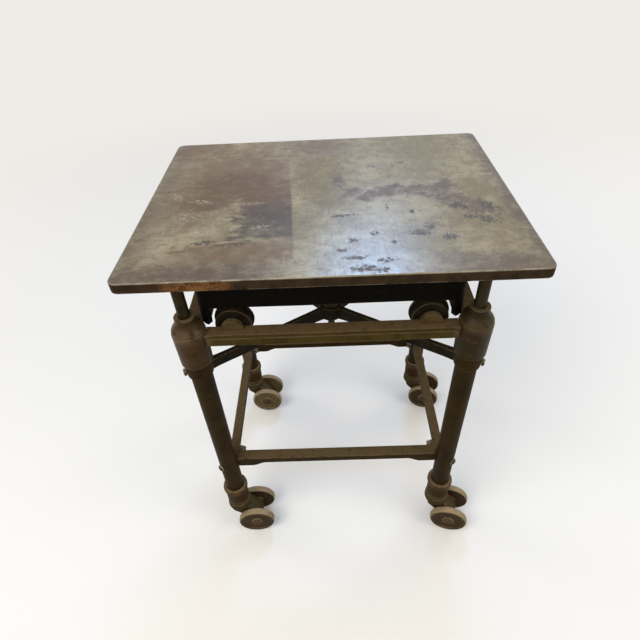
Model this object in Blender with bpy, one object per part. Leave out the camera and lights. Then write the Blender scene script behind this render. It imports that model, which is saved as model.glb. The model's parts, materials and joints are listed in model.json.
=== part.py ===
"""Printers' turtle table: a thick iron top on a lifting apron, four pipe legs and twin-wheel casters.

Metres, +Z up. The table stands on z = 0 with the origin under the middle of its overall box.
The top, its apron, guide posts and screw rise together; the front looks towards -Y.
"""
import math

import bmesh
import bpy
import numpy as np
from mathutils import Matrix, Vector

# Fits
SEAT_GAP = 0.0003
RUNNING_GAP = 0.0001

# Table top
TOP_WIDTH = 0.762
TOP_DEPTH = 0.597
TOP_THICKNESS = 0.022
TOP_CORNER_RADIUS = 0.016
TOP_EDGE_BEVEL = 0.0015

# Legs: steel pipe, with the top overhanging the leg axes by these distances
TOP_OVERHANG_X = 0.0905
TOP_OVERHANG_Y = 0.0688
LEG_RADIUS = 0.02415
LEG_WALL = 0.0037
LEG_LENGTH = 0.6246

# Apron under the top: shallow front and rear ribs, deeper side ribs that run to the corners
APRON_HEIGHT = 0.1177
APRON_RIB_THICKNESS = 0.012
APRON_SIDE_THICKNESS = 0.020
APRON_SIDE_DROP = 0.045
APRON_SIDE_CLEARANCE = 0.004
APRON_CORNER_RADIUS = 0.025
APRON_INNER_RADIUS = 0.006

# Guide posts that slide in the corner castings
POST_RADIUS = 0.012
POST_LENGTH = 0.238
POST_FLANGE_RADIUS = 0.030
POST_FLANGE_HEIGHT = 0.010

# Elevating screw, its boss under the top and the lifting nut on the brace hub
SCREW_RADIUS = 0.009
SCREW_LENGTH = 0.378
SCREW_CHAMFER = 0.002
BOSS_WALL = 0.015
BOSS_FLANGE_WALL = 0.032
BOSS_FLANGE_HEIGHT = 0.010
BOSS_HEIGHT = 0.030
NUT_ACROSS_FLATS = 0.046
NUT_HEIGHT = 0.022
NUT_CHAMFER = 0.002
NUT_COLLAR_WALL = 0.0135
NUT_COLLAR_HEIGHT = 0.004

# Corner castings, turned, over the leg tops
CASTING_WALL = 0.010
CASTING_SWELL = 0.0015
CASTING_SHOULDER_HEIGHT = 0.085
CASTING_CREASE_HEIGHT = 0.004
CASTING_CREASE_STEP = 0.001
CASTING_HEIGHT = 0.1235
LEG_SOCKET_DEPTH = 0.060
COLLAR_WALL = 0.0095
COLLAR_HEIGHT = 0.0095

# Upper rails: a cap over a slightly narrower web, saddled to the castings
RAIL_RISE = 0.0794
RAIL_WIDTH = 0.029
RAIL_DEPTH = 0.0314
RAIL_CAP_HEIGHT = 0.008
RAIL_WEB_SETBACK = 0.002

# Half-round lugs on the front and rear rails, with the flanged rollers they carry
LUG_RADIUS = 0.0235
LUG_THICKNESS = 0.012
LUG_INSET = 0.0025
ROLLER_INSET = 0.0885
ROLLER_TREAD_RADIUS = 0.0373
ROLLER_FLANGE_RADIUS = 0.042
ROLLER_FLANGE_THICKNESS = 0.0047
ROLLER_WIDTH = 0.0244
ROLLER_SIDE_CLEARANCE = 0.003
ROLLER_RIM_BEVEL = 0.001
JOURNAL_RADIUS = 0.006
JOURNAL_BOSS_RADIUS = 0.011
JOURNAL_STOP = 0.002

# Cross brace: arms from a middle hub to eyes round the legs, each eye held by a set bolt
EYE_WALL = 0.004
EYE_HEIGHT = 0.0387
ARM_THICKNESS = 0.012
ARM_END_DROP = 0.0147
ARM_END_DEPTH = 0.025
ARM_SETBACK = 0.001
HUB_RADIUS = 0.030
HUB_DROP = 0.0467
HUB_DEPTH = 0.036
BRACE_BOLT_RADIUS = 0.0045
BRACE_BOLT_ANGLE = math.radians(22.0)
BRACE_BOLT_DROP = 0.0267
BRACE_BOLT_HEAD = 0.012
BRACE_BOLT_HEAD_HEIGHT = 0.007

# Lower stretchers with haunched ends and corner blocks, each corner drawn up by a diagonal bolt
STRETCHER_RISE = 0.1769
STRETCHER_WIDTH = 0.029
STRETCHER_INSET = 0.013
STRETCHER_DEPTH = 0.020
HAUNCH_DEPTH = 0.0325
HAUNCH_FLAT = 0.0645
HAUNCH_CURVE = 0.036
BLOCK_REACH = 0.0392
BLOCK_END = 0.002
BLOCK_SEAT = 0.048
SIDE_STRETCHER_DEPTH = 0.022
STRETCHER_BOLT_ANGLE = math.radians(49.0)
STRETCHER_BOLT_RADIUS = 0.00475
STRETCHER_BOLT_DROP = 0.013
STRETCHER_BOLT_HEAD_RADIUS = 0.010
STRETCHER_BOLT_HEAD_HEIGHT = 0.0065
STRETCHER_NUT_WIDTH = 0.017
STRETCHER_NUT_HEIGHT = 0.0085
STRETCHER_NUT_CLEARANCE = 0.0005
STRETCHER_BOLT_PROUD = 0.004

# Caster sockets under the legs
CUP_WALL = 0.006
CUP_FLOOR = 0.012
CUP_HEIGHT = 0.066
CUP_FOOT_BEVEL = 0.0035
BEAD_HEIGHT = 0.017
BEAD_PROUD = 0.004
BEAD_ROUND = 0.004
KINGPIN_RADIUS = 0.008
KINGPIN_LENGTH = 0.040

# Caster forks: a domed crown and one horn between the wheels
TRAIL = 0.0445
CROWN_CLEARANCE = 0.003
CROWN_RADIUS = 0.033
CROWN_RIM_HEIGHT = 0.006
CROWN_UNDERCUT_HEIGHT = 0.012
FORK_HEIGHT = 0.0305
FORK_NECK_RADIUS = 0.029
FORK_NECK_HEIGHT = 0.010
HORN_ROOT_RADIUS = 0.0215
HORN_ROOT_DROP = 0.007
AXLE_BOSS_RADIUS = 0.019
AXLE_RADIUS = 0.0068
AXLE_PROUD = 0.003
AXLE_CHAMFER = 0.001

# Caster wheels, two on each axle
WHEEL_RADIUS = 0.052
WHEEL_WIDTH = 0.018
WHEEL_SPACING = 0.054
WHEEL_HUB_RADIUS = 0.0165
WHEEL_HUB_REACH = 0.0035
WHEEL_SIDE_CLEARANCE = 0.001
WHEEL_RIM = 0.009
WHEEL_RIM_BEVEL = 0.003
WHEEL_RECESS = 0.003
WHEEL_RECESS_SLOPE = 0.004

# How far each caster is turned about its leg at rest, from trailing straight to the right
CASTER_YAW = {
    "front_left": math.radians(3.0),
    "front_right": math.radians(-15.0),
    "rear_left": math.radians(-1.5),
    "rear_right": math.radians(-13.6),
}

# Which way each corner lies from the middle, along X and along Y
CORNERS = {
    "front_left": (-1, -1),
    "front_right": (1, -1),
    "rear_left": (-1, 1),
    "rear_right": (1, 1),
}

# Sides of the round pieces
WHEEL_SIDES = 24
TURNED_SIDES = 16
PIN_SIDES = 12
CORNER_STEPS = 5
CURVE_STEPS = 4

# Heights, worked out from the floor up
CROWN_Z = 2 * WHEEL_RADIUS + CROWN_CLEARANCE
FORK_TOP_Z = CROWN_Z + FORK_HEIGHT
SOCKET_Z = FORK_TOP_Z + SEAT_GAP
LEG_Z = SOCKET_Z + CUP_FLOOR + SEAT_GAP
STRETCHER_TOP_Z = LEG_Z + STRETCHER_RISE
CASTING_Z = LEG_Z + LEG_LENGTH + SEAT_GAP - LEG_SOCKET_DEPTH
EYE_TOP_Z = CASTING_Z - SEAT_GAP
HUB_TOP_Z = EYE_TOP_Z - HUB_DROP
RAIL_TOP_Z = CASTING_Z + RAIL_RISE
APRON_Z = RAIL_TOP_Z + ROLLER_TREAD_RADIUS + SEAT_GAP
APRON_TOP_Z = APRON_Z + APRON_HEIGHT
UNDERSIDE_Z = APRON_TOP_Z + SEAT_GAP

# Radii and places that neighbouring pieces share
LEG_X = TOP_WIDTH / 2 - TOP_OVERHANG_X
LEG_Y = TOP_DEPTH / 2 - TOP_OVERHANG_Y
LEG_SEAT_RADIUS = LEG_RADIUS + SEAT_GAP
CASTING_RADIUS = LEG_SEAT_RADIUS + CASTING_WALL + CASTING_SWELL
EYE_RADIUS = LEG_SEAT_RADIUS + EYE_WALL
CUP_RADIUS = LEG_SEAT_RADIUS + CUP_WALL
ROLLER_X = LEG_X - ROLLER_INSET
RAIL_INNER_Y = LEG_Y - RAIL_WIDTH / 2
ROLLER_Y = RAIL_INNER_Y - ROLLER_SIDE_CLEARANCE - ROLLER_WIDTH / 2
WHEEL_INNER = WHEEL_SPACING / 2
WHEEL_OUTER = WHEEL_INNER + WHEEL_WIDTH
HORN_HALF_WIDTH = WHEEL_INNER - WHEEL_HUB_REACH - WHEEL_SIDE_CLEARANCE
WELD_DISTANCE = 1e-6


def over_flats(radius, sides):
    """Corner radius of a regular polygon whose flats lie at the given radius."""
    return radius / math.cos(math.pi / sides)


def smooth_step(share):
    """S-curve from 0 to 1 that starts and ends level."""
    return share * share * (3 - 2 * share)


def turned(profile, sides):
    """Body swept by turning a profile of (radius, height) points about Z.

    A profile that starts and ends on the axis gives a solid, any other is closed into a ring.
    Flats face +X, +Y, -X and -Y when the sides are a multiple of four.
    """
    body = bmesh.new()
    start = Matrix.Rotation(math.pi / sides, 3, "Z")
    points = [body.verts.new(start @ Vector((radius, 0.0, height))) for radius, height in profile]
    edges = [body.edges.new(pair) for pair in zip(points, points[1:])]
    if profile[0][0] > 0:
        edges.append(body.edges.new((points[-1], points[0])))
    bmesh.ops.spin(body, geom=points + edges, cent=(0, 0, 0), axis=(0, 0, 1),
                   angle=2 * math.pi, steps=sides, use_merge=True)
    bmesh.ops.remove_doubles(body, verts=body.verts[:], dist=WELD_DISTANCE)
    bmesh.ops.dissolve_degenerate(body, edges=body.edges[:], dist=WELD_DISTANCE)
    bmesh.ops.recalc_face_normals(body, faces=body.faces[:])
    return body


def lofted(loops):
    """Body through closed loops of matching points, capped at the first and the last."""
    body = bmesh.new()
    rings = [[body.verts.new(point) for point in loop] for loop in loops]
    count = len(rings[0])
    for lower, upper in zip(rings, rings[1:]):
        for i in range(count):
            j = (i + 1) % count
            body.faces.new((lower[i], lower[j], upper[j], upper[i]))
    body.faces.new(rings[0])
    body.faces.new(rings[-1])
    bmesh.ops.recalc_face_normals(body, faces=body.faces[:])
    return body


def level(outline, height):
    """A plan outline of (x, y) points lifted to a height."""
    return [(x, y, height) for x, y in outline]


def arc(centre, radius, first, last, steps):
    """Points of an arc from one angle to another, ends included."""
    angles = np.linspace(first, last, steps + 1)
    return [(centre[0] + radius * math.cos(a), centre[1] + radius * math.sin(a)) for a in angles]


def rounded_rectangle(half_x, half_y, radius):
    """Plan outline of a rectangle with round corners, anticlockwise."""
    outline = []
    quarter = math.pi / 2
    for turn, (sx, sy) in enumerate(((1, 1), (-1, 1), (-1, -1), (1, -1))):
        centre = (sx * (half_x - radius), sy * (half_y - radius))
        outline += arc(centre, radius, turn * quarter, (turn + 1) * quarter, CORNER_STEPS)
    return outline


def box(size, centre):
    """Rectangular block about a centre."""
    half_x, half_y, half_z = (side / 2 for side in size)
    corners = [(half_x, half_y), (-half_x, half_y), (-half_x, -half_y), (half_x, -half_y)]
    body = lofted([level(corners, -half_z), level(corners, half_z)])
    return moved(body, Matrix.Translation(centre))


def moved(body, matrix):
    """The same body after a move or a turn."""
    bmesh.ops.transform(body, matrix=matrix, verts=body.verts[:])
    return body


def along(direction, start=(0, 0, 0)):
    """Matrix that stands local Z along a direction, from a starting point."""
    turn = Vector(direction).to_track_quat("Z", "Y").to_matrix().to_4x4()
    return Matrix.Translation(start) @ turn


def rod(radius, start, end, sides):
    """Plain round bar between two points."""
    axis = Vector(end) - Vector(start)
    profile = [(0, 0), (radius, 0), (radius, axis.length), (0, axis.length)]
    return moved(turned(profile, sides), along(axis, start))


def temporary_object(body):
    """Scene object that carries a body while it is cut or joined."""
    mesh = bpy.data.meshes.new("working")
    body.to_mesh(mesh)
    body.free()
    holder = bpy.data.objects.new("working", mesh)
    bpy.context.scene.collection.objects.link(holder)
    return holder


def combined(body, tool, operation):
    """Body after a Boolean with a tool body; both are used up."""
    target = temporary_object(body)
    cutter = temporary_object(tool)
    modifier = target.modifiers.new("shape", "BOOLEAN")
    modifier.operation = operation
    modifier.solver = "EXACT"
    modifier.object = cutter
    evaluated = target.evaluated_get(bpy.context.evaluated_depsgraph_get())
    result = bmesh.new()
    result.from_mesh(evaluated.to_mesh())
    bmesh.ops.remove_doubles(result, verts=result.verts[:], dist=WELD_DISTANCE)
    for holder in (target, cutter):
        mesh = holder.data
        bpy.data.objects.remove(holder)
        bpy.data.meshes.remove(mesh)
    return result


def joined(body, tool):
    """Union of two bodies."""
    return combined(body, tool, "UNION")


def cut(body, tool):
    """First body less the second."""
    return combined(body, tool, "DIFFERENCE")


def material(name, colour, roughness, metallic):
    """Plain surface for one kind of piece."""
    surface = bpy.data.materials.new(name)
    surface.use_nodes = True
    shader = surface.node_tree.nodes["Principled BSDF"]
    shader.inputs["Base Color"].default_value = (*colour, 1.0)
    shader.inputs["Roughness"].default_value = roughness
    shader.inputs["Metallic"].default_value = metallic
    return surface


def shaped(name, body, surface):
    """Mesh of a body, shaded smooth across its shallow edges."""
    mesh = bpy.data.meshes.new(name)
    body.to_mesh(mesh)
    body.free()
    mesh.shade_smooth()
    mesh.set_sharp_from_angle(angle=math.radians(35.0))
    mesh.materials.append(surface)
    return mesh


def place(name, mesh, parent, location=(0, 0, 0), rotation=(0, 0, 0)):
    """Named object for one piece of the table."""
    piece = bpy.data.objects.new(name, mesh)
    piece.parent = parent
    piece.location = location
    piece.rotation_euler = rotation
    bpy.context.scene.collection.objects.link(piece)
    return piece


def empty(name, parent=None, location=(0, 0, 0), yaw=0.0):
    """Reference point that pieces hang from."""
    point = bpy.data.objects.new(name, None)
    point.parent = parent
    point.location = location
    point.rotation_euler = (0, 0, yaw)
    bpy.context.scene.collection.objects.link(point)
    return point


def corner_xy(corner):
    """Plan position of a leg axis."""
    sx, sy = CORNERS[corner]
    return sx * LEG_X, sy * LEG_Y


def inward(corner, angle):
    """Level direction from a leg towards the middle, at an angle from X."""
    sx, sy = CORNERS[corner]
    return Vector((-sx * math.cos(angle), -sy * math.sin(angle), 0.0))


def wheel_profile():
    """Section of a caster wheel from its inner hub face outwards, as (radius, distance along the axle)."""
    bore = over_flats(AXLE_RADIUS + RUNNING_GAP, WHEEL_SIDES)
    tread = over_flats(WHEEL_RADIUS, WHEEL_SIDES)
    face = WHEEL_HUB_REACH + WHEEL_WIDTH
    rim = WHEEL_RADIUS - WHEEL_RIM
    return [
        (bore, 0.0),
        (WHEEL_HUB_RADIUS, 0.0),
        (WHEEL_HUB_RADIUS, WHEEL_HUB_REACH),
        (tread, WHEEL_HUB_REACH),
        (tread, face - WHEEL_RIM_BEVEL),
        (tread - WHEEL_RIM_BEVEL, face),
        (rim, face),
        (rim - WHEEL_RECESS_SLOPE, face - WHEEL_RECESS),
        (WHEEL_HUB_RADIUS, face - WHEEL_RECESS),
        (WHEEL_HUB_RADIUS, face),
        (bore, face),
    ]


def box_middle():
    """Middle of the table's overall plan box, from the top and the reach of every caster wheel."""
    low = np.array([-TOP_WIDTH / 2, -TOP_DEPTH / 2])
    high = -low
    section = np.array(wheel_profile())
    radii = section[:, 0] * math.cos(math.pi / WHEEL_SIDES)
    sides = section[:, 1] + WHEEL_INNER - WHEEL_HUB_REACH
    for corner, yaw in CASTER_YAW.items():
        roll_way = np.array([math.cos(yaw), math.sin(yaw)])
        axle_way = np.array([-math.sin(yaw), math.cos(yaw)])
        axle = np.array(corner_xy(corner)) + TRAIL * roll_way
        reach = (radii[:, None] * np.abs(roll_way) + sides[:, None] * np.abs(axle_way)).max(axis=0)
        low = np.minimum(low, axle - reach)
        high = np.maximum(high, axle + reach)
    return (low + high) / 2


def make_table_top(lift):
    half_x = TOP_WIDTH / 2
    half_y = TOP_DEPTH / 2
    full = rounded_rectangle(half_x, half_y, TOP_CORNER_RADIUS)
    drawn_in = rounded_rectangle(half_x - TOP_EDGE_BEVEL, half_y - TOP_EDGE_BEVEL,
                                 TOP_CORNER_RADIUS - TOP_EDGE_BEVEL)
    body = lofted([
        level(drawn_in, UNDERSIDE_Z),
        level(full, UNDERSIDE_Z + TOP_EDGE_BEVEL),
        level(full, UNDERSIDE_Z + TOP_THICKNESS - TOP_EDGE_BEVEL),
        level(drawn_in, UNDERSIDE_Z + TOP_THICKNESS),
    ])
    surface = material("top_iron", (0.27, 0.24, 0.18), 0.45, 0.6)
    place("table_top", shaped("table_top", body, surface), lift)


def apron_loop(half_x, half_y, radius):
    """One wall of the apron seen from above, with the height of its lower edge at each point."""
    outline = rounded_rectangle(half_x, half_y, radius)
    side_to_rib = [APRON_Z - APRON_SIDE_DROP] * CORNER_STEPS + [APRON_Z]
    heights = 2 * (side_to_rib + side_to_rib[::-1])
    return [(x, y, height) for (x, y), height in zip(outline, heights)]


def make_apron(lift):
    half_x = LEG_X - RAIL_WIDTH / 2 - APRON_SIDE_CLEARANCE
    half_y = ROLLER_Y + APRON_RIB_THICKNESS / 2
    outer = apron_loop(half_x, half_y, APRON_CORNER_RADIUS)
    inner = apron_loop(half_x - APRON_SIDE_THICKNESS, half_y - APRON_RIB_THICKNESS, APRON_INNER_RADIUS)
    body = bmesh.new()
    rings = [
        [body.verts.new(point) for point in outer],
        [body.verts.new(point) for point in level([p[:2] for p in outer], APRON_TOP_Z)],
        [body.verts.new(point) for point in level([p[:2] for p in inner], APRON_TOP_Z)],
        [body.verts.new(point) for point in inner],
    ]
    count = len(outer)
    for ring, following in zip(rings, rings[1:] + rings[:1]):
        for i in range(count):
            j = (i + 1) % count
            body.faces.new((ring[i], ring[j], following[j], following[i]))
    bmesh.ops.recalc_face_normals(body, faces=body.faces[:])
    surface = material("apron_black_iron", (0.020, 0.018, 0.015), 0.75, 0.2)
    place("apron_frame", shaped("apron_frame", body, surface), lift)


def make_guide_posts(lift):
    """Round posts, one over each leg, with a flange under the top."""
    body = turned([
        (0, -SEAT_GAP),
        (POST_FLANGE_RADIUS, -SEAT_GAP),
        (POST_FLANGE_RADIUS, -POST_FLANGE_HEIGHT),
        (POST_RADIUS, -POST_FLANGE_HEIGHT),
        (POST_RADIUS, -POST_LENGTH),
        (0, -POST_LENGTH),
    ], TURNED_SIDES)
    mesh = shaped("guide_post", body, material("post_steel", (0.10, 0.075, 0.05), 0.5, 0.7))
    for corner in CORNERS:
        place("guide_post_" + corner, mesh, lift, (*corner_xy(corner), UNDERSIDE_Z))


def make_screw(lift):
    """Elevating screw and the flanged boss that ties it to the underside of the top."""
    surface = material("screw_steel", (0.075, 0.06, 0.045), 0.5, 0.7)
    body = turned([
        (0, -SEAT_GAP),
        (SCREW_RADIUS, -SEAT_GAP),
        (SCREW_RADIUS, SCREW_CHAMFER - SCREW_LENGTH),
        (SCREW_RADIUS - SCREW_CHAMFER, -SCREW_LENGTH),
        (0, -SCREW_LENGTH),
    ], PIN_SIDES)
    place("elevating_screw", shaped("elevating_screw", body, surface), lift, (0, 0, UNDERSIDE_Z))
    bore = over_flats(SCREW_RADIUS + SEAT_GAP, PIN_SIDES)
    body = turned([
        (bore, -SEAT_GAP),
        (SCREW_RADIUS + BOSS_FLANGE_WALL, -SEAT_GAP),
        (SCREW_RADIUS + BOSS_FLANGE_WALL, -BOSS_FLANGE_HEIGHT),
        (SCREW_RADIUS + BOSS_WALL, -BOSS_FLANGE_HEIGHT),
        (SCREW_RADIUS + BOSS_WALL, -BOSS_HEIGHT),
        (bore, -BOSS_HEIGHT),
    ], PIN_SIDES)
    surface = material("boss_black_iron", (0.022, 0.019, 0.016), 0.75, 0.2)
    place("screw_boss", shaped("screw_boss", body, surface), lift, (0, 0, UNDERSIDE_Z))


def make_lifting_nut(table):
    """Hexagon nut with a round foot, resting on the hub of the cross brace."""
    flats = NUT_ACROSS_FLATS / 2
    corner = over_flats(flats, 6)
    hexagon = turned([
        (0, NUT_COLLAR_HEIGHT / 2),
        (corner, NUT_COLLAR_HEIGHT / 2),
        (corner, NUT_HEIGHT - NUT_CHAMFER),
        (flats - NUT_CHAMFER, NUT_HEIGHT),
        (0, NUT_HEIGHT),
    ], 6)
    foot_radius = SCREW_RADIUS + NUT_COLLAR_WALL
    foot = rod(foot_radius, (0, 0, 0), (0, 0, NUT_COLLAR_HEIGHT), TURNED_SIDES)
    bore = rod(over_flats(SCREW_RADIUS + RUNNING_GAP, PIN_SIDES), (0, 0, -NUT_HEIGHT), (0, 0, 2 * NUT_HEIGHT),
               PIN_SIDES)
    body = cut(joined(hexagon, foot), bore)
    surface = material("nut_steel", (0.07, 0.055, 0.04), 0.55, 0.6)
    place("lifting_nut", shaped("lifting_nut", body, surface), table, (0, 0, HUB_TOP_Z + SEAT_GAP))


def casting_flare():
    """Shoulder of a corner casting from its crease up to the collar, as (radius, height) points."""
    crease_z = CASTING_SHOULDER_HEIGHT + CASTING_CREASE_HEIGHT
    collar_z = CASTING_HEIGHT - COLLAR_HEIGHT
    start = CASTING_RADIUS - CASTING_CREASE_STEP
    end = POST_RADIUS + RUNNING_GAP + COLLAR_WALL
    points = []
    for share in np.linspace(0, 1, CURVE_STEPS + 1):
        points.append((start + (end - start) * smooth_step(share), crease_z + (collar_z - crease_z) * share))
    return points


def make_castings(table):
    """Bell-shouldered sleeves: the leg seats in the lower socket and the post slides in the bore above."""
    bore = over_flats(POST_RADIUS + RUNNING_GAP, TURNED_SIDES)
    seat = over_flats(LEG_SEAT_RADIUS, TURNED_SIDES)
    flare = casting_flare()
    profile = [
        (seat, 0),
        (CASTING_RADIUS - CASTING_SWELL, 0),
        (CASTING_RADIUS, CASTING_SHOULDER_HEIGHT),
        *flare,
        (flare[-1][0], CASTING_HEIGHT),
        (bore, CASTING_HEIGHT),
        (bore, LEG_SOCKET_DEPTH),
        (seat, LEG_SOCKET_DEPTH),
    ]
    mesh = shaped("corner_casting", turned(profile, TURNED_SIDES),
                  material("casting_rusty_iron", (0.115, 0.065, 0.030), 0.7, 0.3))
    for corner in CORNERS:
        place("corner_casting_" + corner, mesh, table, (*corner_xy(corner), CASTING_Z))


def make_legs(table):
    """Pipe legs, drilled through on the diagonal for the stretcher bolts."""
    surface = material("leg_dark_iron", (0.055, 0.042, 0.022), 0.65, 0.4)
    bolt_z = STRETCHER_RISE - STRETCHER_BOLT_DROP
    for corner in CORNERS:
        body = turned([
            (LEG_RADIUS, 0),
            (LEG_RADIUS, LEG_LENGTH),
            (LEG_RADIUS - LEG_WALL, LEG_LENGTH),
            (LEG_RADIUS - LEG_WALL, 0),
        ], TURNED_SIDES)
        reach = 2 * LEG_RADIUS * inward(corner, STRETCHER_BOLT_ANGLE)
        lift = Vector((0, 0, bolt_z))
        body = cut(body, rod(over_flats(STRETCHER_BOLT_RADIUS + SEAT_GAP, PIN_SIDES),
                             lift - reach, lift + reach, PIN_SIDES))
        place("leg_tube_" + corner, shaped("leg_tube", body, surface), table, (*corner_xy(corner), LEG_Z))


def rail_outline(half_span, half_width):
    """Plan of a rail along X between two castings, hollowed at both ends to sit against them."""
    steps = 2 * CURVE_STEPS
    seat = CASTING_RADIUS + SEAT_GAP
    half_angle = math.asin(half_width / seat)
    radius = seat / math.cos(half_angle / steps)
    right = arc((half_span, 0), radius, math.pi + half_angle, math.pi - half_angle, steps)
    left = arc((-half_span, 0), radius, half_angle, -half_angle, steps)
    return right + left


def rail_body(half_span):
    """Rail along X: a flat cap over a web that is set back on both sides."""
    cap = rail_outline(half_span, RAIL_WIDTH / 2)
    web = rail_outline(half_span, RAIL_WIDTH / 2 - RAIL_WEB_SETBACK)
    return lofted([
        level(web, -RAIL_DEPTH),
        level(web, -RAIL_CAP_HEIGHT),
        level(cap, -RAIL_CAP_HEIGHT),
        level(cap, 0),
    ])


def make_upper_rails(table):
    """Front and rear rails carry the roller lugs on their inner side; the side rails are plain."""
    lug_face = RAIL_WIDTH / 2 - LUG_INSET
    lug_back = lug_face - LUG_THICKNESS
    front = rail_body(LEG_X)
    for x in (-ROLLER_X, ROLLER_X):
        front = joined(front, rod(LUG_RADIUS, (x, lug_back, 0), (x, lug_face, 0), TURNED_SIDES))
    for x in (-ROLLER_X, ROLLER_X):
        bore = rod(over_flats(JOURNAL_RADIUS + RUNNING_GAP, PIN_SIDES), (x, lug_back + JOURNAL_STOP, 0),
                   (x, lug_face + LUG_THICKNESS, 0), PIN_SIDES)
        front = cut(front, bore)
    surface = material("rail_worn_iron", (0.075, 0.060, 0.038), 0.65, 0.4)
    lugged = shaped("upper_rail_lugged", front, surface)
    plain = shaped("upper_rail_plain", rail_body(LEG_Y), surface)
    quarter = math.pi / 2
    place("upper_rail_front", lugged, table, (0, -LEG_Y, RAIL_TOP_Z))
    place("upper_rail_rear", lugged, table, (0, LEG_Y, RAIL_TOP_Z), (0, 0, math.pi))
    place("upper_rail_left", plain, table, (-LEG_X, 0, RAIL_TOP_Z), (0, 0, quarter))
    place("upper_rail_right", plain, table, (LEG_X, 0, RAIL_TOP_Z), (0, 0, quarter))


def make_rollers(table):
    """Bearer rollers under the front and rear ribs: a tread, a rear flange and a journal in the lug."""
    half = ROLLER_WIDTH / 2
    flange_face = ROLLER_FLANGE_THICKNESS - half
    boss_end = half + ROLLER_SIDE_CLEARANCE - SEAT_GAP
    journal_end = half + ROLLER_SIDE_CLEARANCE + LUG_INSET + LUG_THICKNESS - JOURNAL_STOP - SEAT_GAP
    body = turned([
        (0, -half),
        (ROLLER_FLANGE_RADIUS - ROLLER_RIM_BEVEL, -half),
        (ROLLER_FLANGE_RADIUS, ROLLER_RIM_BEVEL - half),
        (ROLLER_FLANGE_RADIUS, flange_face - ROLLER_RIM_BEVEL),
        (ROLLER_FLANGE_RADIUS - ROLLER_RIM_BEVEL, flange_face),
        (ROLLER_TREAD_RADIUS, flange_face),
        (ROLLER_TREAD_RADIUS, half - ROLLER_RIM_BEVEL),
        (ROLLER_TREAD_RADIUS - ROLLER_RIM_BEVEL, half),
        (JOURNAL_BOSS_RADIUS, half),
        (JOURNAL_BOSS_RADIUS, boss_end),
        (JOURNAL_RADIUS, boss_end),
        (JOURNAL_RADIUS, journal_end),
        (0, journal_end),
    ], WHEEL_SIDES)
    mesh = shaped("bearer_roller", body, material("roller_iron", (0.060, 0.050, 0.036), 0.6, 0.4))
    for corner, (sx, sy) in CORNERS.items():
        centre = (sx * ROLLER_X, sy * ROLLER_Y, RAIL_TOP_Z)
        place("bearer_roller_" + corner, mesh, table, centre, (-sy * math.pi / 2, 0, 0))


def arm_section(centre, direction, top, depth):
    """Upright rectangle across an arm of the brace."""
    across = Vector((-direction.y, direction.x, 0)) * ARM_THICKNESS / 2
    low = Vector((0, 0, top - depth))
    high = Vector((0, 0, top))
    return [centre - across + low, centre + across + low, centre + across + high, centre - across + high]


def arm_sections(corner):
    """Sections of one arm, from the middle of the hub to the leg axis."""
    leg = Vector((*corner_xy(corner), 0))
    middle = Vector((0, 0, 0))
    hub_top = HUB_TOP_Z - ARM_SETBACK
    hub_depth = HUB_DEPTH - 2 * ARM_SETBACK
    end_top = EYE_TOP_Z - ARM_END_DROP
    direction = leg.normalized()
    return [
        arm_section(middle, direction, hub_top, hub_depth),
        arm_section(direction * HUB_RADIUS, direction, hub_top, hub_depth),
        arm_section(leg, direction, end_top, ARM_END_DEPTH),
    ]


def with_eye(body, corner):
    """Arm with its eye: a ring bored for the leg and drilled for its set bolt."""
    x, y = corner_xy(corner)
    eye_z = EYE_TOP_Z - EYE_HEIGHT
    ring = rod(EYE_RADIUS, (x, y, eye_z), (x, y, EYE_TOP_Z), TURNED_SIDES)
    bore = rod(over_flats(LEG_SEAT_RADIUS, TURNED_SIDES), (x, y, eye_z - EYE_HEIGHT),
               (x, y, EYE_TOP_Z + EYE_HEIGHT), TURNED_SIDES)
    axis = Vector((x, y, EYE_TOP_Z - BRACE_BOLT_DROP))
    outer_end = axis - 2 * EYE_RADIUS * inward(corner, BRACE_BOLT_ANGLE)
    drilling = rod(over_flats(BRACE_BOLT_RADIUS + SEAT_GAP, PIN_SIDES), axis, outer_end, PIN_SIDES)
    return cut(cut(joined(body, ring), bore), drilling)


def hub_cylinder(radius):
    """Upright cylinder at the hub of the brace, reaching past both faces when it is used as a cutter."""
    return rod(radius, (0, 0, HUB_TOP_Z - 2 * HUB_DEPTH), (0, 0, HUB_TOP_Z + HUB_DEPTH), TURNED_SIDES)


def make_cross_brace(table):
    """One long diagonal with the hub, and two half arms that butt against it."""
    surface = material("brace_black_iron", (0.024, 0.021, 0.016), 0.7, 0.3)
    long_way = arm_sections("front_left")[:0:-1] + arm_sections("rear_right")[1:]
    for section in long_way[:2]:
        section[0], section[1], section[2], section[3] = section[1], section[0], section[3], section[2]
    hub = rod(HUB_RADIUS, (0, 0, HUB_TOP_Z - HUB_DEPTH), (0, 0, HUB_TOP_Z), TURNED_SIDES)
    body = joined(lofted(long_way), hub)
    for corner in ("front_left", "rear_right"):
        body = with_eye(body, corner)
    body = cut(body, hub_cylinder(over_flats(SCREW_RADIUS + SEAT_GAP, TURNED_SIDES)))
    place("cross_brace_main", shaped("cross_brace_main", body, surface), table)
    for corner in ("front_right", "rear_left"):
        arm = with_eye(lofted(arm_sections(corner)), corner)
        arm = cut(arm, hub_cylinder(over_flats(HUB_RADIUS + SEAT_GAP, TURNED_SIDES)))
        place("brace_arm_" + corner, shaped("brace_arm", arm, surface), table)


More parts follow.
